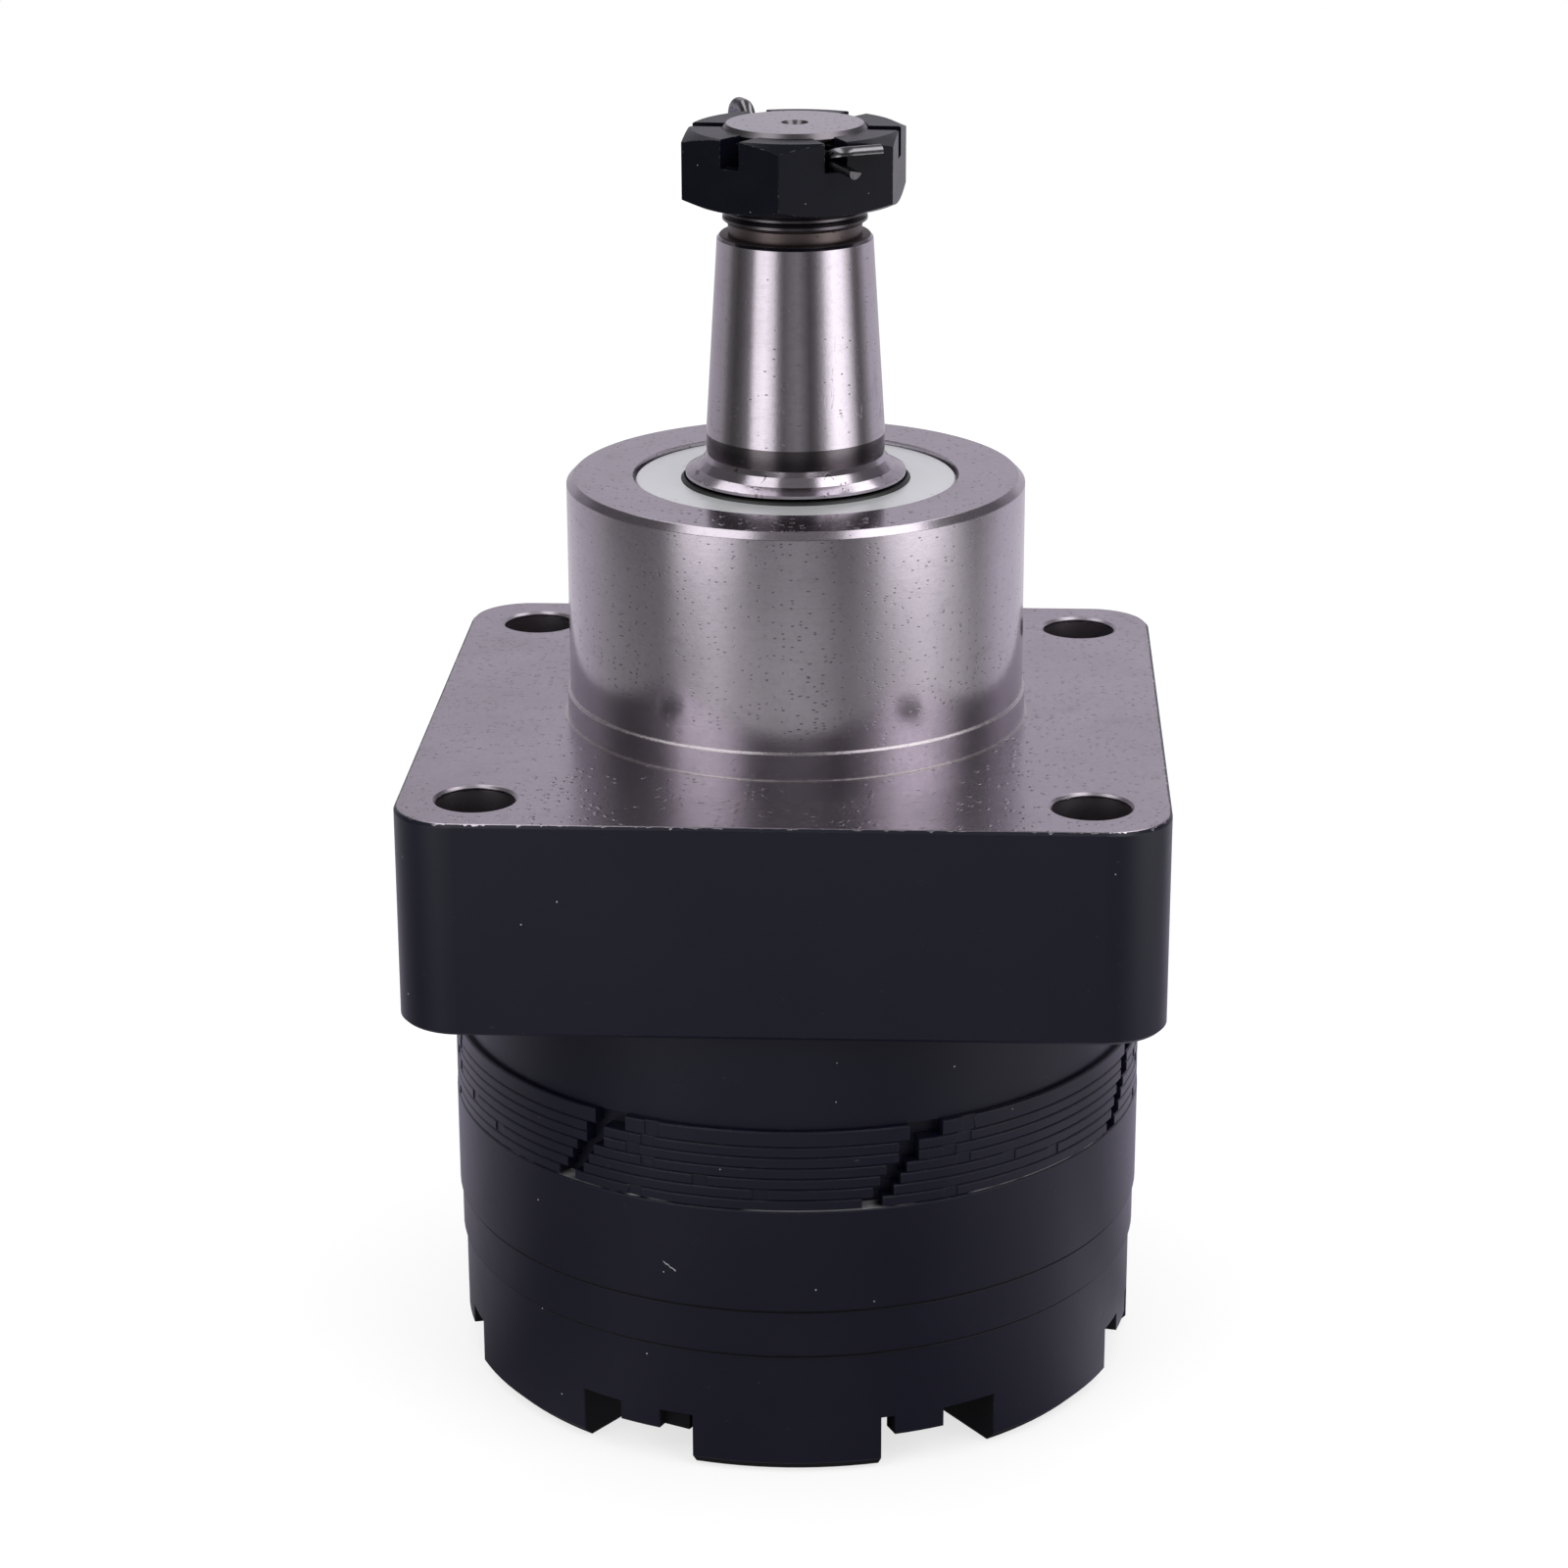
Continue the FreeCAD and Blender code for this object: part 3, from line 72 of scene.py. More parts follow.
# Colours are linear.
STEEL = (0.580, 0.524, 0.593)
STEEL_DARK = (0.30, 0.268, 0.298)
STEEL_HIGHLIGHT = (0.86, 0.82, 0.76)
COTTER_STEEL = (0.19, 0.19, 0.20)
OIL = (0.10, 0.085, 0.085)
BAND_DARK = (0.070, 0.060, 0.062)
THREAD_OIL = (0.035, 0.032, 0.034)
NECK_OIL = (0.105, 0.078, 0.070)
TIP_OIL = (0.090, 0.082, 0.086)
FLARE_STAIN = (0.10, 0.08, 0.07)
PAINT = (0.0028, 0.0026, 0.0085)
SEAM_PAINTED_SHADE = (0.0008, 0.0008, 0.0012)
POCKET_PAINTED_SHADE = (0.0006, 0.0006, 0.0008)
CHIP_AND_GLINT = (0.42, 0.41, 0.42)
OXIDE = (0.0022, 0.0023, 0.0048)
ZINC = (0.76, 0.75, 0.79)
ZINC_BLOOM = (0.70, 0.73, 0.72)
ZINC_SCRATCH = (0.82, 0.84, 0.80)
ZINC_SPOT = (0.30, 0.31, 0.29)
BRASS = (0.62, 0.42, 0.16)
BRASS_TARNISH = (0.42, 0.27, 0.10)
RUBBER = (0.006, 0.006, 0.0065)
WHITE = (1.0, 1.0, 1.0)


# ---------------------------------------------------------------- node helpers
class Graph:
    """Writes a node tree; most methods add nodes and give back their output."""

    def __init__(self, tree):
        self.tree = tree
        self.tree.nodes.clear()

    def add(self, kind, **settings):
        node = self.tree.nodes.new(kind)
        for name, value in settings.items():
            setattr(node, name, value)
        return node

    def feed(self, socket, value):
        if isinstance(value, bpy.types.NodeSocket):
            self.tree.links.new(value, socket)
        elif isinstance(value, tuple) and socket.type == "RGBA":
            socket.default_value = (*value, 1.0)
        else:
            socket.default_value = value

    def calc(self, operation, *values):
        node = self.add("ShaderNodeMath", operation=operation)
        for socket, value in zip(node.inputs, values):
            self.feed(socket, value)
        return node.outputs[0]

    def total(self, *values):
        result = values[0]
        for value in values[1:]:
            result = self.calc("ADD", result, value)
        return result

    def product(self, *values):
        result = values[0]
        for value in values[1:]:
            result = self.calc("MULTIPLY", result, value)
        return result

    def either(self, *values):
        result = values[0]
        for value in values[1:]:
            result = self.calc("MAXIMUM", result, value)
        return result

    def step(self, value, start, end):
        """0 before start, 1 after end, smooth between; start may be the larger."""
        node = self.add("ShaderNodeMapRange", interpolation_type="SMOOTHSTEP")
        self.feed(node.inputs["Value"], value)
        if start < end:
            low, high, first, last = start, end, 0.0, 1.0
        else:
            low, high, first, last = end, start, 1.0, 0.0
        self.feed(node.inputs["From Min"], low)
        self.feed(node.inputs["From Max"], high)
        self.feed(node.inputs["To Min"], first)
        self.feed(node.inputs["To Max"], last)
        return node.outputs["Result"]

    def window(self, value, start, full, fading, end):
        """0 before start, 1 from full to fading, 0 after end."""
        return self.product(self.step(value, start, full), self.step(value, end, fading))

    def scaled(self, value, low, high):
        """A 0 to 1 value spread over low to high."""
        return self.calc("MULTIPLY_ADD", value, high - low, low)

    def mix(self, factor, low, high):
        node = self.add("ShaderNodeMix", data_type="FLOAT")
        self.feed(node.inputs[0], factor)
        self.feed(node.inputs[2], low)
        self.feed(node.inputs[3], high)
        return node.outputs[0]

    def blend(self, factor, low, high):
        node = self.add("ShaderNodeMix", data_type="RGBA")
        self.feed(node.inputs[0], factor)
        self.feed(node.inputs[6], low)
        self.feed(node.inputs[7], high)
        return node.outputs[2]

    def tinted(self, colour, tint):
        """A colour multiplied by a tint."""
        node = self.add("ShaderNodeMix", data_type="RGBA", blend_type="MULTIPLY")
        self.feed(node.inputs[0], 1.0)
        self.feed(node.inputs[6], colour)
        self.feed(node.inputs[7], tint)
        return node.outputs[2]

    def vector(self, x, y, z):
        node = self.add("ShaderNodeCombineXYZ")
        for socket, value in zip(node.inputs, (x, y, z)):
            self.feed(socket, value)
        return node.outputs[0]

    def noise(self, place, scale, detail=2.0, rough=0.5, twist=0.0):
        node = self.add("ShaderNodeTexNoise")
        self.feed(node.inputs["Vector"], place)
        node.inputs["Scale"].default_value = scale
        node.inputs["Detail"].default_value = detail
        node.inputs["Roughness"].default_value = rough
        node.inputs["Distortion"].default_value = twist
        return node.outputs[0]

    def cells(self, place, scale):
        """Distance to the nearest scattered point, and that point's own random number."""
        node = self.add("ShaderNodeTexVoronoi")
        self.feed(node.inputs["Vector"], place)
        node.inputs["Scale"].default_value = scale
        split = self.add("ShaderNodeSeparateColor")
        self.feed(split.inputs[0], node.outputs["Color"])
        return node.outputs["Distance"], split.outputs[0]

    def spots(self, place, scale, radius, share, crowd=None):
        """Round spots of a radius, in cell units, on a share of the scattered points."""
        distance, chance = self.cells(place, scale)
        soft_edge = 0.02
        spot = self.step(distance, radius, 0.45 * radius)
        if crowd is not None:
            chance = self.calc("ADD", chance, crowd)
        return self.product(spot, self.step(chance, 1.0 - share, 1.0 - share + soft_edge))


class Finish(Graph):
    """A material on one Principled shader, with the part's place in millimetres."""

    def __init__(self, name):
        self.material = bpy.data.materials.new(name)
        self.material.use_nodes = True
        super().__init__(self.material.node_tree)
        self.shader = self.add("ShaderNodeBsdfPrincipled")
        output = self.add("ShaderNodeOutputMaterial")
        self.feed(output.inputs["Surface"], self.shader.outputs[0])
        coordinates = self.add("ShaderNodeTexCoord")
        scale = self.add("ShaderNodeVectorMath", operation="SCALE")
        self.feed(scale.inputs[0], coordinates.outputs["Object"])
        scale.inputs["Scale"].default_value = 1000.0
        self.place = scale.outputs[0]
        split = self.add("ShaderNodeSeparateXYZ")
        self.feed(split.inputs[0], self.place)
        self.x, self.y, self.z = split.outputs
        self.radius = self.calc("SQRT", self.total(
            self.product(self.x, self.x), self.product(self.y, self.y)))
        geometry = self.add("ShaderNodeNewGeometry")
        self.true_normal = geometry.outputs["True Normal"]
        face = self.add("ShaderNodeSeparateXYZ")
        self.feed(face.inputs[0], self.true_normal)
        self.facing_up = face.outputs[2]

    def stretched(self, sideways, upward):
        """Coordinates scaled by one number on X and Y and by another on Z."""
        return self.vector(self.product(self.x, sideways), self.product(self.y, sideways),
                           self.product(self.z, upward))

    def lathe_place(self, along=0.06, across=4.0):
        """Coordinates that change slowly round the axis and fast across the tool marks."""
        return self.vector(self.product(self.x, along), self.product(self.y, along),
                           self.product(self.total(self.z, self.radius), across))

    def near(self, x, y, radius, edge=0.2, flat=None):
        """1 within a radius of a point, seen along Z, or along Y when flat is 'xz'."""
        second = self.z if flat == "xz" else self.y
        across = self.calc("SUBTRACT", self.calc("ABSOLUTE", self.x), x)
        if flat != "xz":
            second = self.calc("ABSOLUTE", second)
        along = self.calc("SUBTRACT", second, y)
        reach = self.calc("SQRT", self.total(self.product(across, across), self.product(along, along)))
        return self.step(reach, radius + edge, radius)

    def line_at(self, height, half_width):
        """1 on a level line round the part at a height."""
        off = self.calc("ABSOLUTE", self.calc("SUBTRACT", self.z, height))
        return self.step(off, half_width, 0.5 * half_width)

    def edge_light(self, radius):
        """Soft normals over sharp edges, and a mask of those edges."""
        bevel = self.add("ShaderNodeBevel", samples=4)
        bevel.inputs["Radius"].default_value = radius
        likeness = self.add("ShaderNodeVectorMath", operation="DOT_PRODUCT")
        self.feed(likeness.inputs[0], bevel.outputs[0])
        self.feed(likeness.inputs[1], self.true_normal)
        return bevel.outputs[0], self.step(likeness.outputs["Value"], 0.995, 0.80)

    def surface(self, colour, roughness, height, normal=None, metallic=0.0):
        """Feed the shader; height is in millimetres."""
        self.feed(self.shader.inputs["Base Color"], colour)
        self.feed(self.shader.inputs["Roughness"], roughness)
        self.feed(self.shader.inputs["Metallic"], metallic)
        bump = self.add("ShaderNodeBump")
        bump.inputs["Distance"].default_value = 0.001
        bump.inputs["Strength"].default_value = 1.0
        self.feed(bump.inputs["Height"], height)
        if normal is not None:
            self.feed(bump.inputs["Normal"], normal)
        self.feed(self.shader.inputs["Normal"], bump.outputs[0])
        return self.material


# -------------------------------------------------------------------- finishes
# In each of these f is the Finish that is being written.
def steel_layers(f, drops=0.5, drop_size=0.9, rough=0.15, pitting=0.42):
    """Ground steel: colour, roughness and height, with tool marks, pits and oil drops."""
    marks = f.noise(f.lathe_place(), 1.0, 3.0, 0.65)
    fine = f.noise(f.lathe_place(0.15, 11.0), 1.0, 2.0, 0.6)
    cloud = f.noise(f.place, 0.045, 3.0, 0.55, 0.6)
    smear = f.noise(f.stretched(0.5, 1.4), 0.22, 4.0, 0.6, 0.8)
    crowd = f.scaled(f.noise(f.place, 0.035, 2.0, 0.5, 0.3), -0.70, 0.70)
    level = f.step(f.facing_up, 0.85, 0.97)
    # No pits on slopes such as the flare of the shaft.
    slope = f.window(f.facing_up, 0.20, 0.40, 0.90, 0.95)
    pits = f.product(f.calc("SUBTRACT", 1.0, slope),
                     f.spots(f.stretched(0.70, 2.0), 1.0, 0.26, pitting, crowd))
    blotch = f.noise(f.stretched(0.9, 0.9), 1.0, 4.0, 0.72, 0.4)
    specks = f.spots(f.place, 0.55, 0.10, 0.35)
    beads = f.product(level, f.spots(f.place, 1.0 / (1.9 * drop_size), 0.36, drops, crowd))
    colour = f.blend(f.step(cloud, 0.30, 0.75), STEEL, tuple(0.90 * c for c in STEEL))
    colour = f.blend(f.product(f.step(smear, 0.56, 0.80), 0.30), colour, STEEL_DARK)
    colour = f.blend(f.product(marks, 0.22), colour, STEEL_DARK)
    colour = f.blend(f.product(f.step(blotch, 0.45, 0.75), 0.22), colour, STEEL_DARK)
    colour = f.blend(f.product(pits, 0.55), colour, OIL)
    colour = f.blend(f.product(specks, 0.45), colour, OIL)
    colour = f.blend(f.product(beads, 0.45), colour, STEEL_DARK)
    roughness = f.total(f.scaled(marks, rough - 0.02, rough + 0.04), f.scaled(smear, -0.03, 0.03))
    roughness = f.mix(beads, roughness, 0.07)
    height = f.total(f.product(marks, 0.0020), f.product(fine, 0.0008), f.product(blotch, 0.009),
                     f.product(pits, -0.03), f.product(specks, -0.02), f.product(beads, 0.12 * drop_size))
    return colour, roughness, height


def paint_layers(f):
    """Semi-gloss black enamel: colour, roughness, height and edge-softened normal."""
    normal, edges = f.edge_light(0.00028)
    peel = f.noise(f.place, 0.85, 2.0, 0.5)
    sag = f.noise(f.place, 0.11, 2.0, 0.5, 0.4)
    grain = f.noise(f.lathe_place(0.25, 1.6), 1.0, 2.0, 0.5)
    haze = f.noise(f.place, 0.030, 3.0, 0.6, 0.5)
    dust = f.spots(f.place, 0.30, 0.055, 0.22)
    nibs = f.spots(f.place, 0.42, 0.11, 0.16)
    rub = f.step(f.noise(f.stretched(0.35, 0.8), 0.9, 5.0, 0.75, 0.3), 0.66, 0.74)
    chipped = f.product(edges, f.step(f.noise(f.place, 0.55, 4.0, 0.7), 0.60, 0.70))
    colour = f.blend(haze, PAINT, tuple(1.55 * c for c in PAINT))
    colour = f.blend(f.product(rub, 0.05), colour, CHIP_AND_GLINT)
    colour = f.blend(f.product(dust, 0.75), colour, CHIP_AND_GLINT)
    colour = f.blend(f.product(chipped, 0.16), colour, CHIP_AND_GLINT)
    roughness = f.total(f.scaled(haze, 0.26, 0.40), f.product(rub, 0.10), f.product(grain, 0.05))
    height = f.total(f.product(peel, 0.010), f.product(sag, 0.05), f.product(grain, 0.003),
                     f.product(nibs, 0.035), f.product(dust, 0.02))
    # Painted shade: the underside of the end cover and its pockets are darker in colour, and duller.
    hollow = f.product(f.step(f.z, COVER_POCKET_TOP + 0.5, COVER_POCKET_TOP - 0.5),
                       f.step(f.radius, COVER_POCKET_RADIUS + 0.2, COVER_POCKET_RADIUS))
    colour = f.blend(f.product(hollow, 0.85), colour, POCKET_PAINTED_SHADE)
    roughness = f.total(roughness, f.product(hollow, 0.5))
    # Painted shade in the seams under and over the wear plate: darker colour, duller
    # roughness and a small groove.
    seam = f.either(f.line_at(STATOR_BOTTOM, 0.42), f.line_at(COVER_TOP, 0.42))
    colour = f.blend(f.product(seam, 0.8), colour, SEAM_PAINTED_SHADE)
    roughness = f.total(roughness, f.product(seam, 0.45))
    # Painted highlight: a broken bright line along the roller ring's top edge, in the chip colour.
    round_the_edge = f.vector(f.product(f.x, 0.05), f.product(f.y, 0.05), 3.0)
    edge_marks = f.product(f.line_at(STATOR_TOP + 0.08, 0.15),
                     f.step(f.noise(round_the_edge, 1.0, 3.0, 0.6), 0.47, 0.56))
    colour = f.blend(f.product(edge_marks, 0.45), colour, CHIP_AND_GLINT)
    height = f.total(height, f.product(seam, -0.10))
    f.shader.inputs["Specular IOR Level"].default_value = 0.40
    return colour, roughness, height, normal


def ring_scratch(f):
    """1 on a short slanting scratch on the front of the roller ring."""
    start_side = -21.2
    start_height = STATOR_TOP - 11.4
    slope = -0.62
    run = 2.6
    half_width = 0.13
    across = f.calc("MULTIPLY", f.calc("ARCTAN2", f.x, f.product(f.y, -1.0)), STATOR_RADIUS)
    along = f.calc("SUBTRACT", across, start_side)
    wobble = f.scaled(f.noise(f.place, 2.2, 1.0), -0.25, 0.25)
    off = f.total(f.calc("SUBTRACT", f.z, start_height), f.product(along, -slope), wobble)
    return f.product(f.step(f.calc("ABSOLUTE", off), half_width, 0.5 * half_width),
                     f.window(along, 0.0, 0.3, run - 0.4, run))


def painted(name, scratched=False):
    """Paint alone, with or without the scratch on the roller ring."""
    f = Finish(name)
    colour, roughness, height, normal = paint_layers(f)
    if scratched:
        scratch = ring_scratch(f)
        colour = f.blend(f.product(scratch, 0.85), colour, CHIP_AND_GLINT)
        height = f.total(height, f.product(scratch, -0.03))
    return f.surface(colour, roughness, height, normal)


def machined_and_painted():
    """The housing: bare machined nose, flange face, holes and bores; paint elsewhere."""
    f = Finish("machined_iron_part_painted")
    paint_colour, paint_rough, paint_height, paint_normal = paint_layers(f)
    steel_colour, steel_rough, steel_height = steel_layers(f, drops=0.42, drop_size=0.8, rough=0.16)
    ragged = f.scaled(f.step(f.noise(f.place, 0.7, 3.0, 0.6), 0.5, 0.75), 0.0, 0.35)
    faced = f.step(f.total(f.z, ragged), -0.10, -0.04)
    flange_top = f.product(f.step(f.z, 0.05, 0.02), f.step(f.facing_up, 0.90, 0.97))
    holes = f.near(BOLT_HALF, BOLT_HALF, HOLE_RADIUS + 0.55)
    bores = f.step(f.radius, BORES_RADIUS + 0.2, BORES_RADIUS)
    port_spot = f.product(
        f.near(PORT_X, PORT_Z, PORT_SPOT_RADIUS, flat="xz"),
        f.window(f.y, PORT_Y - 12.0, PORT_Y - 11.0, FLANGE_HALF - 0.6, FLANGE_HALF - 0.5))
    bare = f.either(faced, holes, bores, port_spot)
    # Painted highlight: a bright warm line on the step of the pilot and the foot of the nose.
    foot = f.product(f.window(f.radius, PILOT_RADIUS - 0.175, PILOT_RADIUS - 0.025,
                              PILOT_RADIUS + 0.325, PILOT_RADIUS + 0.725), f.step(f.z, 0.5, 0.1))
    pilot_step = f.product(f.window(f.z, PILOT_LENGTH - 0.15, PILOT_LENGTH - 0.05,
                                    PILOT_LENGTH + 0.3, PILOT_LENGTH + 0.4),
                           f.step(f.radius, NOSE_RADIUS - 0.3, NOSE_RADIUS - 0.1))
    step_highlight = f.product(f.either(foot, pilot_step),
                        f.scaled(f.noise(f.place, 0.35, 3.0, 0.7), 0.2, 1.0))
    steel_colour = f.blend(f.product(step_highlight, 0.45), steel_colour, STEEL_HIGHLIGHT)
    # The hole walls below the face are coloured darker and made rougher.
    hole_wall = f.product(holes, f.step(f.z, -0.6, -1.2))
    steel_colour = f.blend(f.product(hole_wall, 0.58), steel_colour, OIL)
    rim = f.product(holes, f.window(f.facing_up, 0.35, 0.5, 0.9, 0.97))
    colour = f.blend(bare, paint_colour, steel_colour)
    steel_rough = f.total(steel_rough, f.product(flange_top, 0.08), f.product(hole_wall, 0.32))
    roughness = f.mix(bare, paint_rough, f.mix(f.either(step_highlight, rim), steel_rough, 0.34))
    height = f.mix(bare, paint_height, steel_height)
    return f.surface(colour, roughness, height, paint_normal, metallic=bare)


def ground_shaft():
    """The output shaft: bright taper, oily thread and neck, stained flare."""
    f = Finish("ground_steel_shaft")
    colour, roughness, height = steel_layers(f, drops=0.30, drop_size=0.6, rough=0.13, pitting=0.10)
    thread = f.window(f.z, THREAD_START - 0.5, THREAD_START - 0.1, SHAFT_END - 1.1, SHAFT_END - 0.9)
    neck = f.window(f.z, NECK_START - 0.35, NECK_START - 0.05, THREAD_START - 0.2, THREAD_START)
    tip_edge = f.product(f.step(f.z, SHAFT_END - 2.3, SHAFT_END - 1.8),
                         f.window(f.facing_up, 0.30, 0.45, 0.90, 0.97))
    stain = f.product(f.step(f.z, BAND_START + 0.2, BAND_START - 0.1),
                      f.step(f.noise(f.place, 0.55, 3.0, 0.6, 0.6), 0.63, 0.68))
    # Upright streaks on the right of the taper, fading upward.
    streaks = f.product(
        f.step(f.x, 4.0, 8.0),
        f.window(f.z, TAPER_START, TAPER_START + 0.8, TAPER_START + 8.3, TAPER_START + 26.3),
        f.step(f.noise(f.stretched(1.6, 0.28), 0.55, 3.0, 0.6, 1.2), 0.60, 0.70))
    # The straight band below the taper is coloured dark brown.
    band = f.window(f.z, BAND_START - 0.1, BAND_START + 0.1, TAPER_START - 0.05, TAPER_START + 0.05)
    colour = f.blend(f.product(band, 0.84), colour, BAND_DARK)
    colour = f.blend(f.product(thread, 0.84), colour, THREAD_OIL)
    colour = f.blend(f.product(neck, 0.88), colour, NECK_OIL)
    colour = f.blend(f.product(tip_edge, 0.72), colour, TIP_OIL)
    colour = f.blend(f.product(stain, 0.75), colour, FLARE_STAIN)
    colour = f.blend(f.product(streaks, 0.45), colour, STEEL_DARK)
    roughness = f.total(roughness, f.product(thread, 0.12), f.product(streaks, 0.10), f.product(neck, 0.28),
                        f.product(tip_edge, 0.15))
    height = f.total(height, f.product(streaks, -0.012), f.product(stain, 0.006))
    return f.surface(colour, roughness, height, metallic=1.0)


def plain_steel(name, rough=0.2, tint=STEEL):
    """Ground steel with few drops, left bright or covered by a tint."""
    f = Finish(name)
    colour, roughness, height = steel_layers(f, drops=0.06, drop_size=0.5, rough=rough)
    if tint != STEEL:
        colour = f.blend(0.85, colour, tint)
    return f.surface(colour, roughness, height, metallic=1.0)


def black_oxide():
    """Blackened steel nut and bolts: satin, cloudy, with tiny bright rubs."""
    f = Finish("black_oxide")
    normal, edges = f.edge_light(0.00022)
    cloud = f.noise(f.place, 0.16, 4.0, 0.6, 0.5)
    grain = f.noise(f.place, 2.6, 3.0, 0.6)
    rubs = f.product(f.spots(f.place, 0.75, 0.085, 0.18), 0.8)
    edge_marks = f.product(edges, f.step(f.noise(f.place, 0.8, 4.0, 0.7), 0.52, 0.66))
    colour = f.blend(cloud, OXIDE, tuple(1.7 * c for c in OXIDE))
    colour = f.blend(rubs, colour, CHIP_AND_GLINT)
    colour = f.blend(f.product(edge_marks, 0.35), colour, CHIP_AND_GLINT)
    roughness = f.total(f.scaled(cloud, 0.22, 0.32), f.scaled(grain, -0.03, 0.03))
    height = f.total(f.product(grain, 0.005), f.product(cloud, 0.02), f.product(rubs, -0.02))
    f.shader.inputs["Specular IOR Level"].default_value = 0.12
    return f.surface(colour, roughness, height, normal)


def zinc_plate():
    """Pale passivated washer: fine turning, faint green bloom, a few scratches."""
    f = Finish("zinc_plate")
    bloom = f.noise(f.place, 0.12, 4.0, 0.6, 0.8)
    marks = f.noise(f.lathe_place(0.10, 5.0), 1.0, 3.0, 0.6)
    scratch_field = f.noise(f.vector(f.product(f.x, 0.22), f.product(f.y, 1.3), f.z), 1.1, 2.0, 0.5, 1.5)
    scratches = f.step(f.calc("ABSOLUTE", f.calc("SUBTRACT", scratch_field, 0.5)), 0.006, 0.002)
    spots = f.spots(f.place, 0.45, 0.16, 0.22)
    colour = f.blend(bloom, ZINC, ZINC_BLOOM)
    colour = f.blend(f.product(scratches, 0.35), colour, ZINC_SCRATCH)
    colour = f.blend(f.product(spots, 0.5), colour, ZINC_SPOT)
    roughness = f.scaled(bloom, 0.26, 0.40)
    height = f.total(f.product(marks, 0.004), f.product(scratches, -0.006), f.product(spots, -0.01))
    return f.surface(colour, roughness, height, metallic=0.6)


def seal_rubber():
    """Black nitrile: matt, mottled, with faint ribs."""
    f = Finish("seal_rubber")
    mottle = f.noise(f.place, 1.4, 3.0, 0.6)
    ribs = f.noise(f.lathe_place(0.05, 3.0), 1.0, 2.0, 0.5)
    colour = f.blend(mottle, RUBBER, tuple(2.0 * c for c in RUBBER))
    roughness = f.scaled(mottle, 0.32, 0.52)
    height = f.total(f.product(mottle, 0.01), f.product(ribs, 0.008))
    return f.surface(colour, roughness, height)


def cage_brass():
    """Turned brass, a little tarnished."""
    f = Finish("cage_brass")
    tarnish = f.noise(f.place, 0.35, 4.0, 0.6)
    marks = f.noise(f.lathe_place(0.10, 5.0), 1.0, 3.0, 0.6)
    colour = f.blend(f.step(tarnish, 0.35, 0.75), BRASS, BRASS_TARNISH)
    roughness = f.scaled(tarnish, 0.20, 0.36)
    height = f.product(marks, 0.003)
    return f.surface(colour, roughness, height, metallic=1.0)


# A finish for each CAD material, and one of their own for three nodes.
FINISHES = {
    "machined_iron_part_painted": machined_and_painted(),
    "black_paint": painted("black_paint"),
    "ground_steel": plain_steel("ground_steel"),
    "cage_brass": cage_brass(),
    "black_oxide": black_oxide(),
    "zinc_plate": zinc_plate(),
    "seal_rubber": seal_rubber(),
}
SPECIAL = {
    "output_shaft": ground_shaft(),
    "stator_ring": painted("black_paint_stator", scratched=True),
    "cotter_pin": plain_steel("cotter_wire_steel", 0.22, COTTER_STEEL),
}
for name, node in NODES.items():
    slot_name = node.material_slots[0].material.name.split(".")[0]
    for slot in node.material_slots:
        slot.material = SPECIAL.get(name, FINISHES[slot_name])


# ---------------------------------------------------------------------- studio
def mesh_object(name, vertices, faces, material):
    mesh = bpy.data.meshes.new(name)
    mesh.from_pydata(vertices, [], faces)
    mesh.materials.append(material)
    thing = bpy.data.objects.new(name, mesh)
    bpy.context.scene.collection.objects.link(thing)
    return thing


FLOOR_REACH = 6.0
FLOOR_GREY = (0.260, 0.260, 0.260)
FLOOR_GREY_LIGHT = (0.266, 0.266, 0.266)
FLOOR_EMISSION = 0.71


def floor_material():
    """Pale sweep that glows a little, so the shadow on it stays faint."""
    f = Finish("studio_floor")
    grain = f.noise(f.place, 0.02, 3.0, 0.5)
    colour = f.blend(grain, FLOOR_GREY, FLOOR_GREY_LIGHT)
    f.shader.inputs["Specular IOR Level"].default_value = 0.0
    f.shader.inputs["Emission Color"].default_value = (*WHITE, 1.0)
    f.shader.inputs["Emission Strength"].default_value = FLOOR_EMISSION
    return f.surface(colour, 0.9, f.product(grain, 0.02))


floor = mesh_object(
    "studio_floor",
    [(-FLOOR_REACH, -FLOOR_REACH, FLOOR_HEIGHT), (FLOOR_REACH, -FLOOR_REACH, FLOOR_HEIGHT),
     (FLOOR_REACH, FLOOR_REACH, FLOOR_HEIGHT), (-FLOOR_REACH, FLOOR_REACH, FLOOR_HEIGHT)],
    [(0, 1, 2, 3)], floor_material())

# A light tent that only reflections see.  Its brightness goes by azimuth, in degrees
# to the right of the front, through four bands that blend at these heights in
# metres: the floor's glow, two strip lights in front with dark gaps beside them,
# a dimmer front, and a dark upper wall.  Behind, every band has a pale sweep.
TENT_RADIUS = 0.32
TENT_TOP = 0.34
TENT_SIDES = 96
TENT_FOOT = FLOOR_HEIGHT + 0.0002
FLOOR_TO_STRIPS = (-0.060, -0.015)
STRIPS_TO_FRONT = (0.105, 0.130)
FRONT_TO_UPPER = (0.165, 0.195)
FLOOR_GLOW = [
    (-180, 0.78), (-148, 0.68), (-117, 0.52), (-96, 0.34), (-79, 0.25), (-64, 0.20), (-52, 0.38),
    (-36, 0.66), (-24, 0.45), (-11, 0.40), (1, 0.44), (13, 0.40), (26, 0.25), (38, 0.34), (52, 0.66),
    (66, 0.90), (82, 0.66), (99, 0.36), (121, 0.66), (156, 0.72), (180, 0.78)]
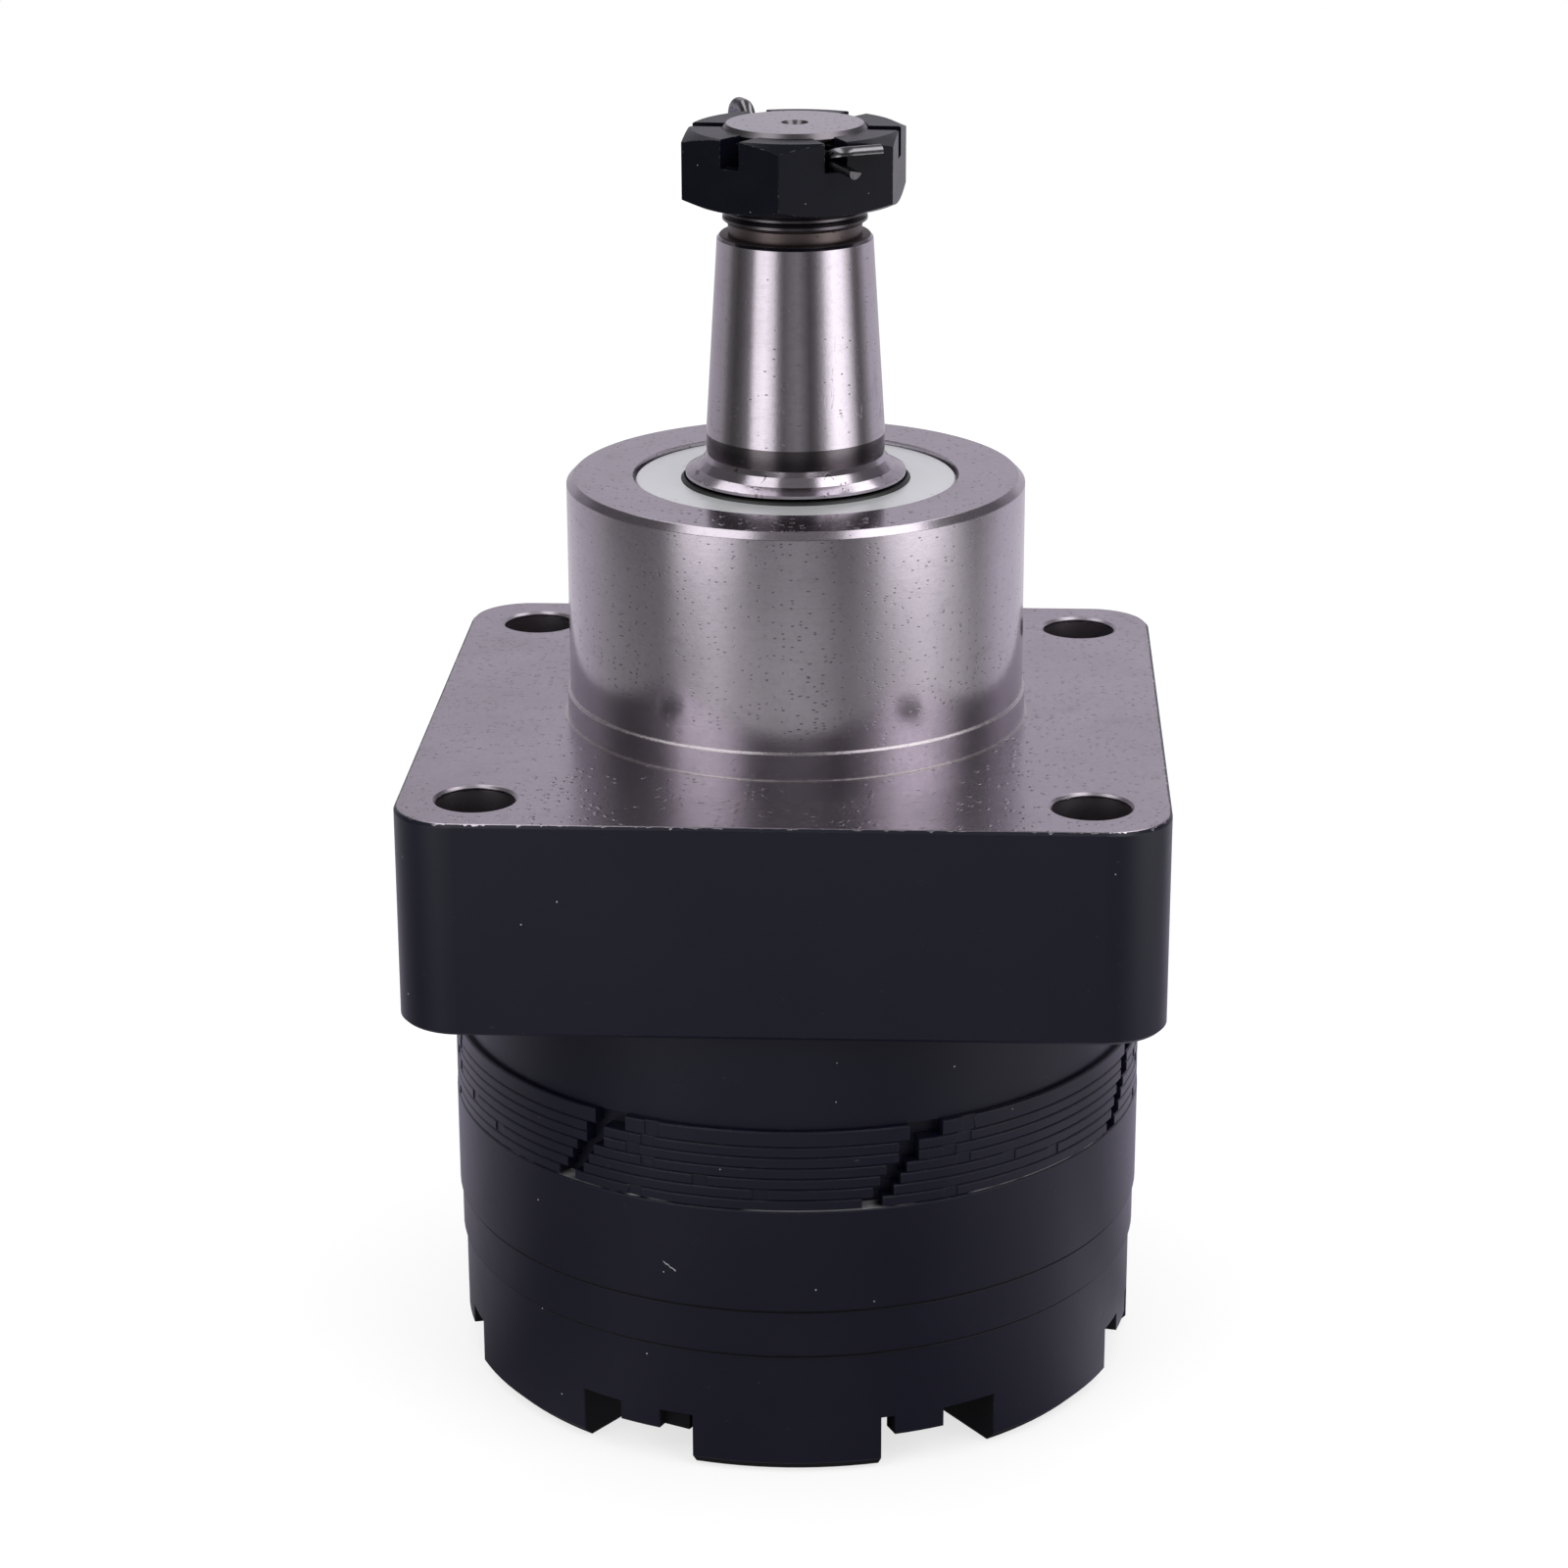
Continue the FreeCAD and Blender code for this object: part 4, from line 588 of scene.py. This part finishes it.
STRIP_GLOW = [
    (-180, 0.52), (-150, 0.50), (-125, 0.46), (-108, 0.38), (-96, 0.15), (-84, 0.07), (-72, 0.12),
    (-60, 0.28), (-51, 1.50), (-38, 1.75), (-28, 1.20), (-20, 0.30), (-13, 0.13), (-4, 0.22),
    (6, 0.27), (14, 0.18), (22, 0.08), (30, 0.16), (39, 0.50), (47, 1.45), (57, 2.10), (70, 1.80),
    (80, 1.00), (90, 0.22), (98, 0.13), (108, 0.30), (120, 0.60), (140, 0.62), (180, 0.52)]
FRONT_GLOW = [
    (-180, 0.52), (-163, 0.52), (-150, 0.32), (-125, 0.26), (-100, 0.10), (-60, 0.14), (-40, 0.18),
    (-20, 0.07), (0, 0.04), (20, 0.06), (40, 0.20), (65, 0.26), (85, 0.12), (100, 0.12),
    (125, 0.26), (150, 0.36), (163, 0.52), (180, 0.52)]
UPPER_GLOW = [
    (-180, 0.66), (-163, 0.66), (-145, 0.14), (-90, 0.10), (0, 0.10), (90, 0.12), (145, 0.16),
    (163, 0.66), (180, 0.66)]
# Brightness of the roof by its sideways place in metres: a light on each side.
ROOF_GLOW = [(-0.32, 0.10), (-0.235, 0.10), (-0.20, 1.7), (-0.09, 1.7), (-0.065, 0.20),
             (0.090, 0.20), (0.115, 2.2), (0.235, 2.2), (0.262, 0.25), (0.32, 0.20)]
# The sweep behind is a touch lilac, from this azimuth on.
BEHIND_AZIMUTH = 110.0
BEHIND_TINT = (1.0, 0.965, 1.058)
APRON_TINT = (0.97, 0.93, 1.08)


# In each of these g is the Graph that is being written.
def glow_ramp(g, share, stops, low, high, behind=None):
    """Colour read from (place, level) stops, the share running 0 to 1 over low to high.

    Stops at the place behind or further out to either side have the lilac tint."""
    ramp = g.add("ShaderNodeValToRGB")
    elements = ramp.color_ramp.elements
    while len(elements) > 1:
        elements.remove(elements[-1])
    elements[0].position = 0.0
    for place, level in stops:
        position = (place - low) / (high - low)
        stop = elements[0] if position <= 0.0 else elements.new(position)
        tint = BEHIND_TINT if behind is not None and abs(place) >= behind else WHITE
        stop.color = (level * tint[0], level * tint[1], level * tint[2], 1.0)
    g.feed(ramp.inputs[0], share)
    return ramp.outputs[0]


def glow_material(name, colour):
    """A light-giving surface; colour(graph, x, y, z) is its brightness."""
    material = bpy.data.materials.new(name)
    material.use_nodes = True
    g = Graph(material.node_tree)
    coordinates = g.add("ShaderNodeTexCoord")
    split = g.add("ShaderNodeSeparateXYZ")
    g.feed(split.inputs[0], coordinates.outputs["Object"])
    glow = g.add("ShaderNodeEmission")
    glow.inputs["Strength"].default_value = 1.0
    g.feed(glow.inputs["Color"], colour(g, *split.outputs))
    output = g.add("ShaderNodeOutputMaterial")
    g.feed(output.inputs["Surface"], glow.outputs[0])
    material.cycles.emission_sampling = "NONE"
    return material


def by_azimuth(g, x, y, stops):
    turn = g.calc("ARCTAN2", x, g.product(y, -1.0))
    share = g.calc("MULTIPLY_ADD", turn, 0.5 / math.pi, 0.5)
    return glow_ramp(g, share, stops, -180.0, 180.0, BEHIND_AZIMUTH)


def wall_glow(g, x, y, z):
    colour = by_azimuth(g, x, y, FLOOR_GLOW)
    for blend_heights, stops in ((FLOOR_TO_STRIPS, STRIP_GLOW), (STRIPS_TO_FRONT, FRONT_GLOW),
                                 (FRONT_TO_UPPER, UPPER_GLOW)):
        colour = g.blend(g.step(z, *blend_heights), colour, by_azimuth(g, x, y, stops))
    return colour


def roof_glow(g, x, y, z):
    share = g.calc("MULTIPLY_ADD", x, 0.5 / TENT_RADIUS, 0.5)
    return glow_ramp(g, share, ROOF_GLOW, -TENT_RADIUS, TENT_RADIUS)


def apron_glow(g, x, y, z):
    """The floor's glow as reflections see it, with a painted shadow near the part, and dimmer in front of
    it.
    """
    reach = g.calc("SQRT", g.total(g.product(x, x), g.product(y, y)))
    ahead = g.step(y, 0.02, -0.05)
    dim = g.product(g.scaled(g.step(reach, 0.07, 0.20), 0.62, 0.85), g.scaled(ahead, 2.3, 0.56))
    return g.tinted(g.blend(dim, (0.0, 0.0, 0.0), by_azimuth(g, x, y, FLOOR_GLOW)), APRON_TINT)


def reflection_only(thing):
    thing.visible_camera = False
    thing.visible_diffuse = False
    thing.visible_shadow = False
    thing.visible_transmission = False
    thing.visible_volume_scatter = False


def build_tent():
    """A round wall, a roof and an apron just over the floor."""
    count = TENT_SIDES
    turns = [2.0 * math.pi * i / count for i in range(count)]
    ring = [(math.sin(turn), -math.cos(turn)) for turn in turns]
    bottom = [(TENT_RADIUS * x, TENT_RADIUS * y, TENT_FOOT) for x, y in ring]
    top = [(TENT_RADIUS * x, TENT_RADIUS * y, TENT_TOP) for x, y in ring]
    sides = [(i, (i + 1) % count, count + (i + 1) % count, count + i) for i in range(count)]
    reflection_only(mesh_object("tent_wall", bottom + top, sides, glow_material("tent_wall", wall_glow)))
    fan = [(i, (i + 1) % count, count) for i in range(count)]
    for name, rim, height, glow in (("tent_roof", top, TENT_TOP, roof_glow),
                                    ("tent_apron", bottom, TENT_FOOT, apron_glow)):
        reflection_only(mesh_object(name, rim + [(0.0, 0.0, height)], fan, glow_material(name, glow)))


build_tent()

world = bpy.data.worlds.new("studio")
bpy.context.scene.world = world
world.use_nodes = True
world_graph = Graph(world.node_tree)
sky = world_graph.add("ShaderNodeBackground")
sky.inputs["Color"].default_value = (*WHITE, 1.0)
sky.inputs["Strength"].default_value = 1.0
world_output = world_graph.add("ShaderNodeOutputWorld")
world_graph.feed(world_output.inputs["Surface"], sky.outputs[0])


def soft_light(name, azimuth, elevation, distance, size, power):
    """A square soft box that shines at the origin from an azimuth and elevation in degrees.

    The distance and size are in metres and the power is in watts."""
    turn = math.radians(azimuth)
    rise = math.radians(elevation)
    place = distance * Vector((math.sin(turn) * math.cos(rise), -math.cos(turn) * math.cos(rise),
                               math.sin(rise)))
    lamp = bpy.data.lights.new(name, "AREA")
    lamp.shape = "SQUARE"
    lamp.size = size
    lamp.energy = power
    thing = bpy.data.objects.new(name, lamp)
    thing.location = place
    thing.rotation_euler = (-place).to_track_quat("-Z", "Y").to_euler()
    thing.visible_camera = False
    thing.visible_glossy = False
    bpy.context.scene.collection.objects.link(thing)


soft_light("left_box", -48.0, 38.0, 1.3, 0.8, 5.0)
soft_light("right_box", 58.0, 42.0, 1.3, 0.8, 6.0)
soft_light("top_box", 175.0, 72.0, 1.4, 1.0, 5.0)

# The camera stands in front of the plain side of the flange and looks down at it.
# Its place is in metres, its turns in degrees, its lens and sensor in millimetres.
CAMERA_PLACE = Vector((0.03182, -0.69064, 0.22353))
CAMERA_HEADING = 2.827
CAMERA_DIP = 19.01
CAMERA_ROLL = -0.208
CAMERA_LENS = 91.92
CAMERA_SENSOR = 36.0

camera_data = bpy.data.cameras.new("photo_camera")
camera_data.lens = CAMERA_LENS
camera_data.sensor_width = CAMERA_SENSOR
camera_data.sensor_fit = "HORIZONTAL"
camera_data.clip_start = 0.01
camera = bpy.data.objects.new("photo_camera", camera_data)
camera.matrix_world = (
    Matrix.Translation(CAMERA_PLACE)
    @ Matrix.Rotation(math.radians(CAMERA_HEADING), 4, "Z")
    @ Matrix.Rotation(math.radians(90.0 - CAMERA_DIP), 4, "X")
    @ Matrix.Rotation(math.radians(CAMERA_ROLL), 4, "Z"))
bpy.context.scene.collection.objects.link(camera)
bpy.context.scene.camera = camera
bpy.context.scene.view_settings.view_transform = "Standard"
bpy.context.scene.view_settings.look = "None"
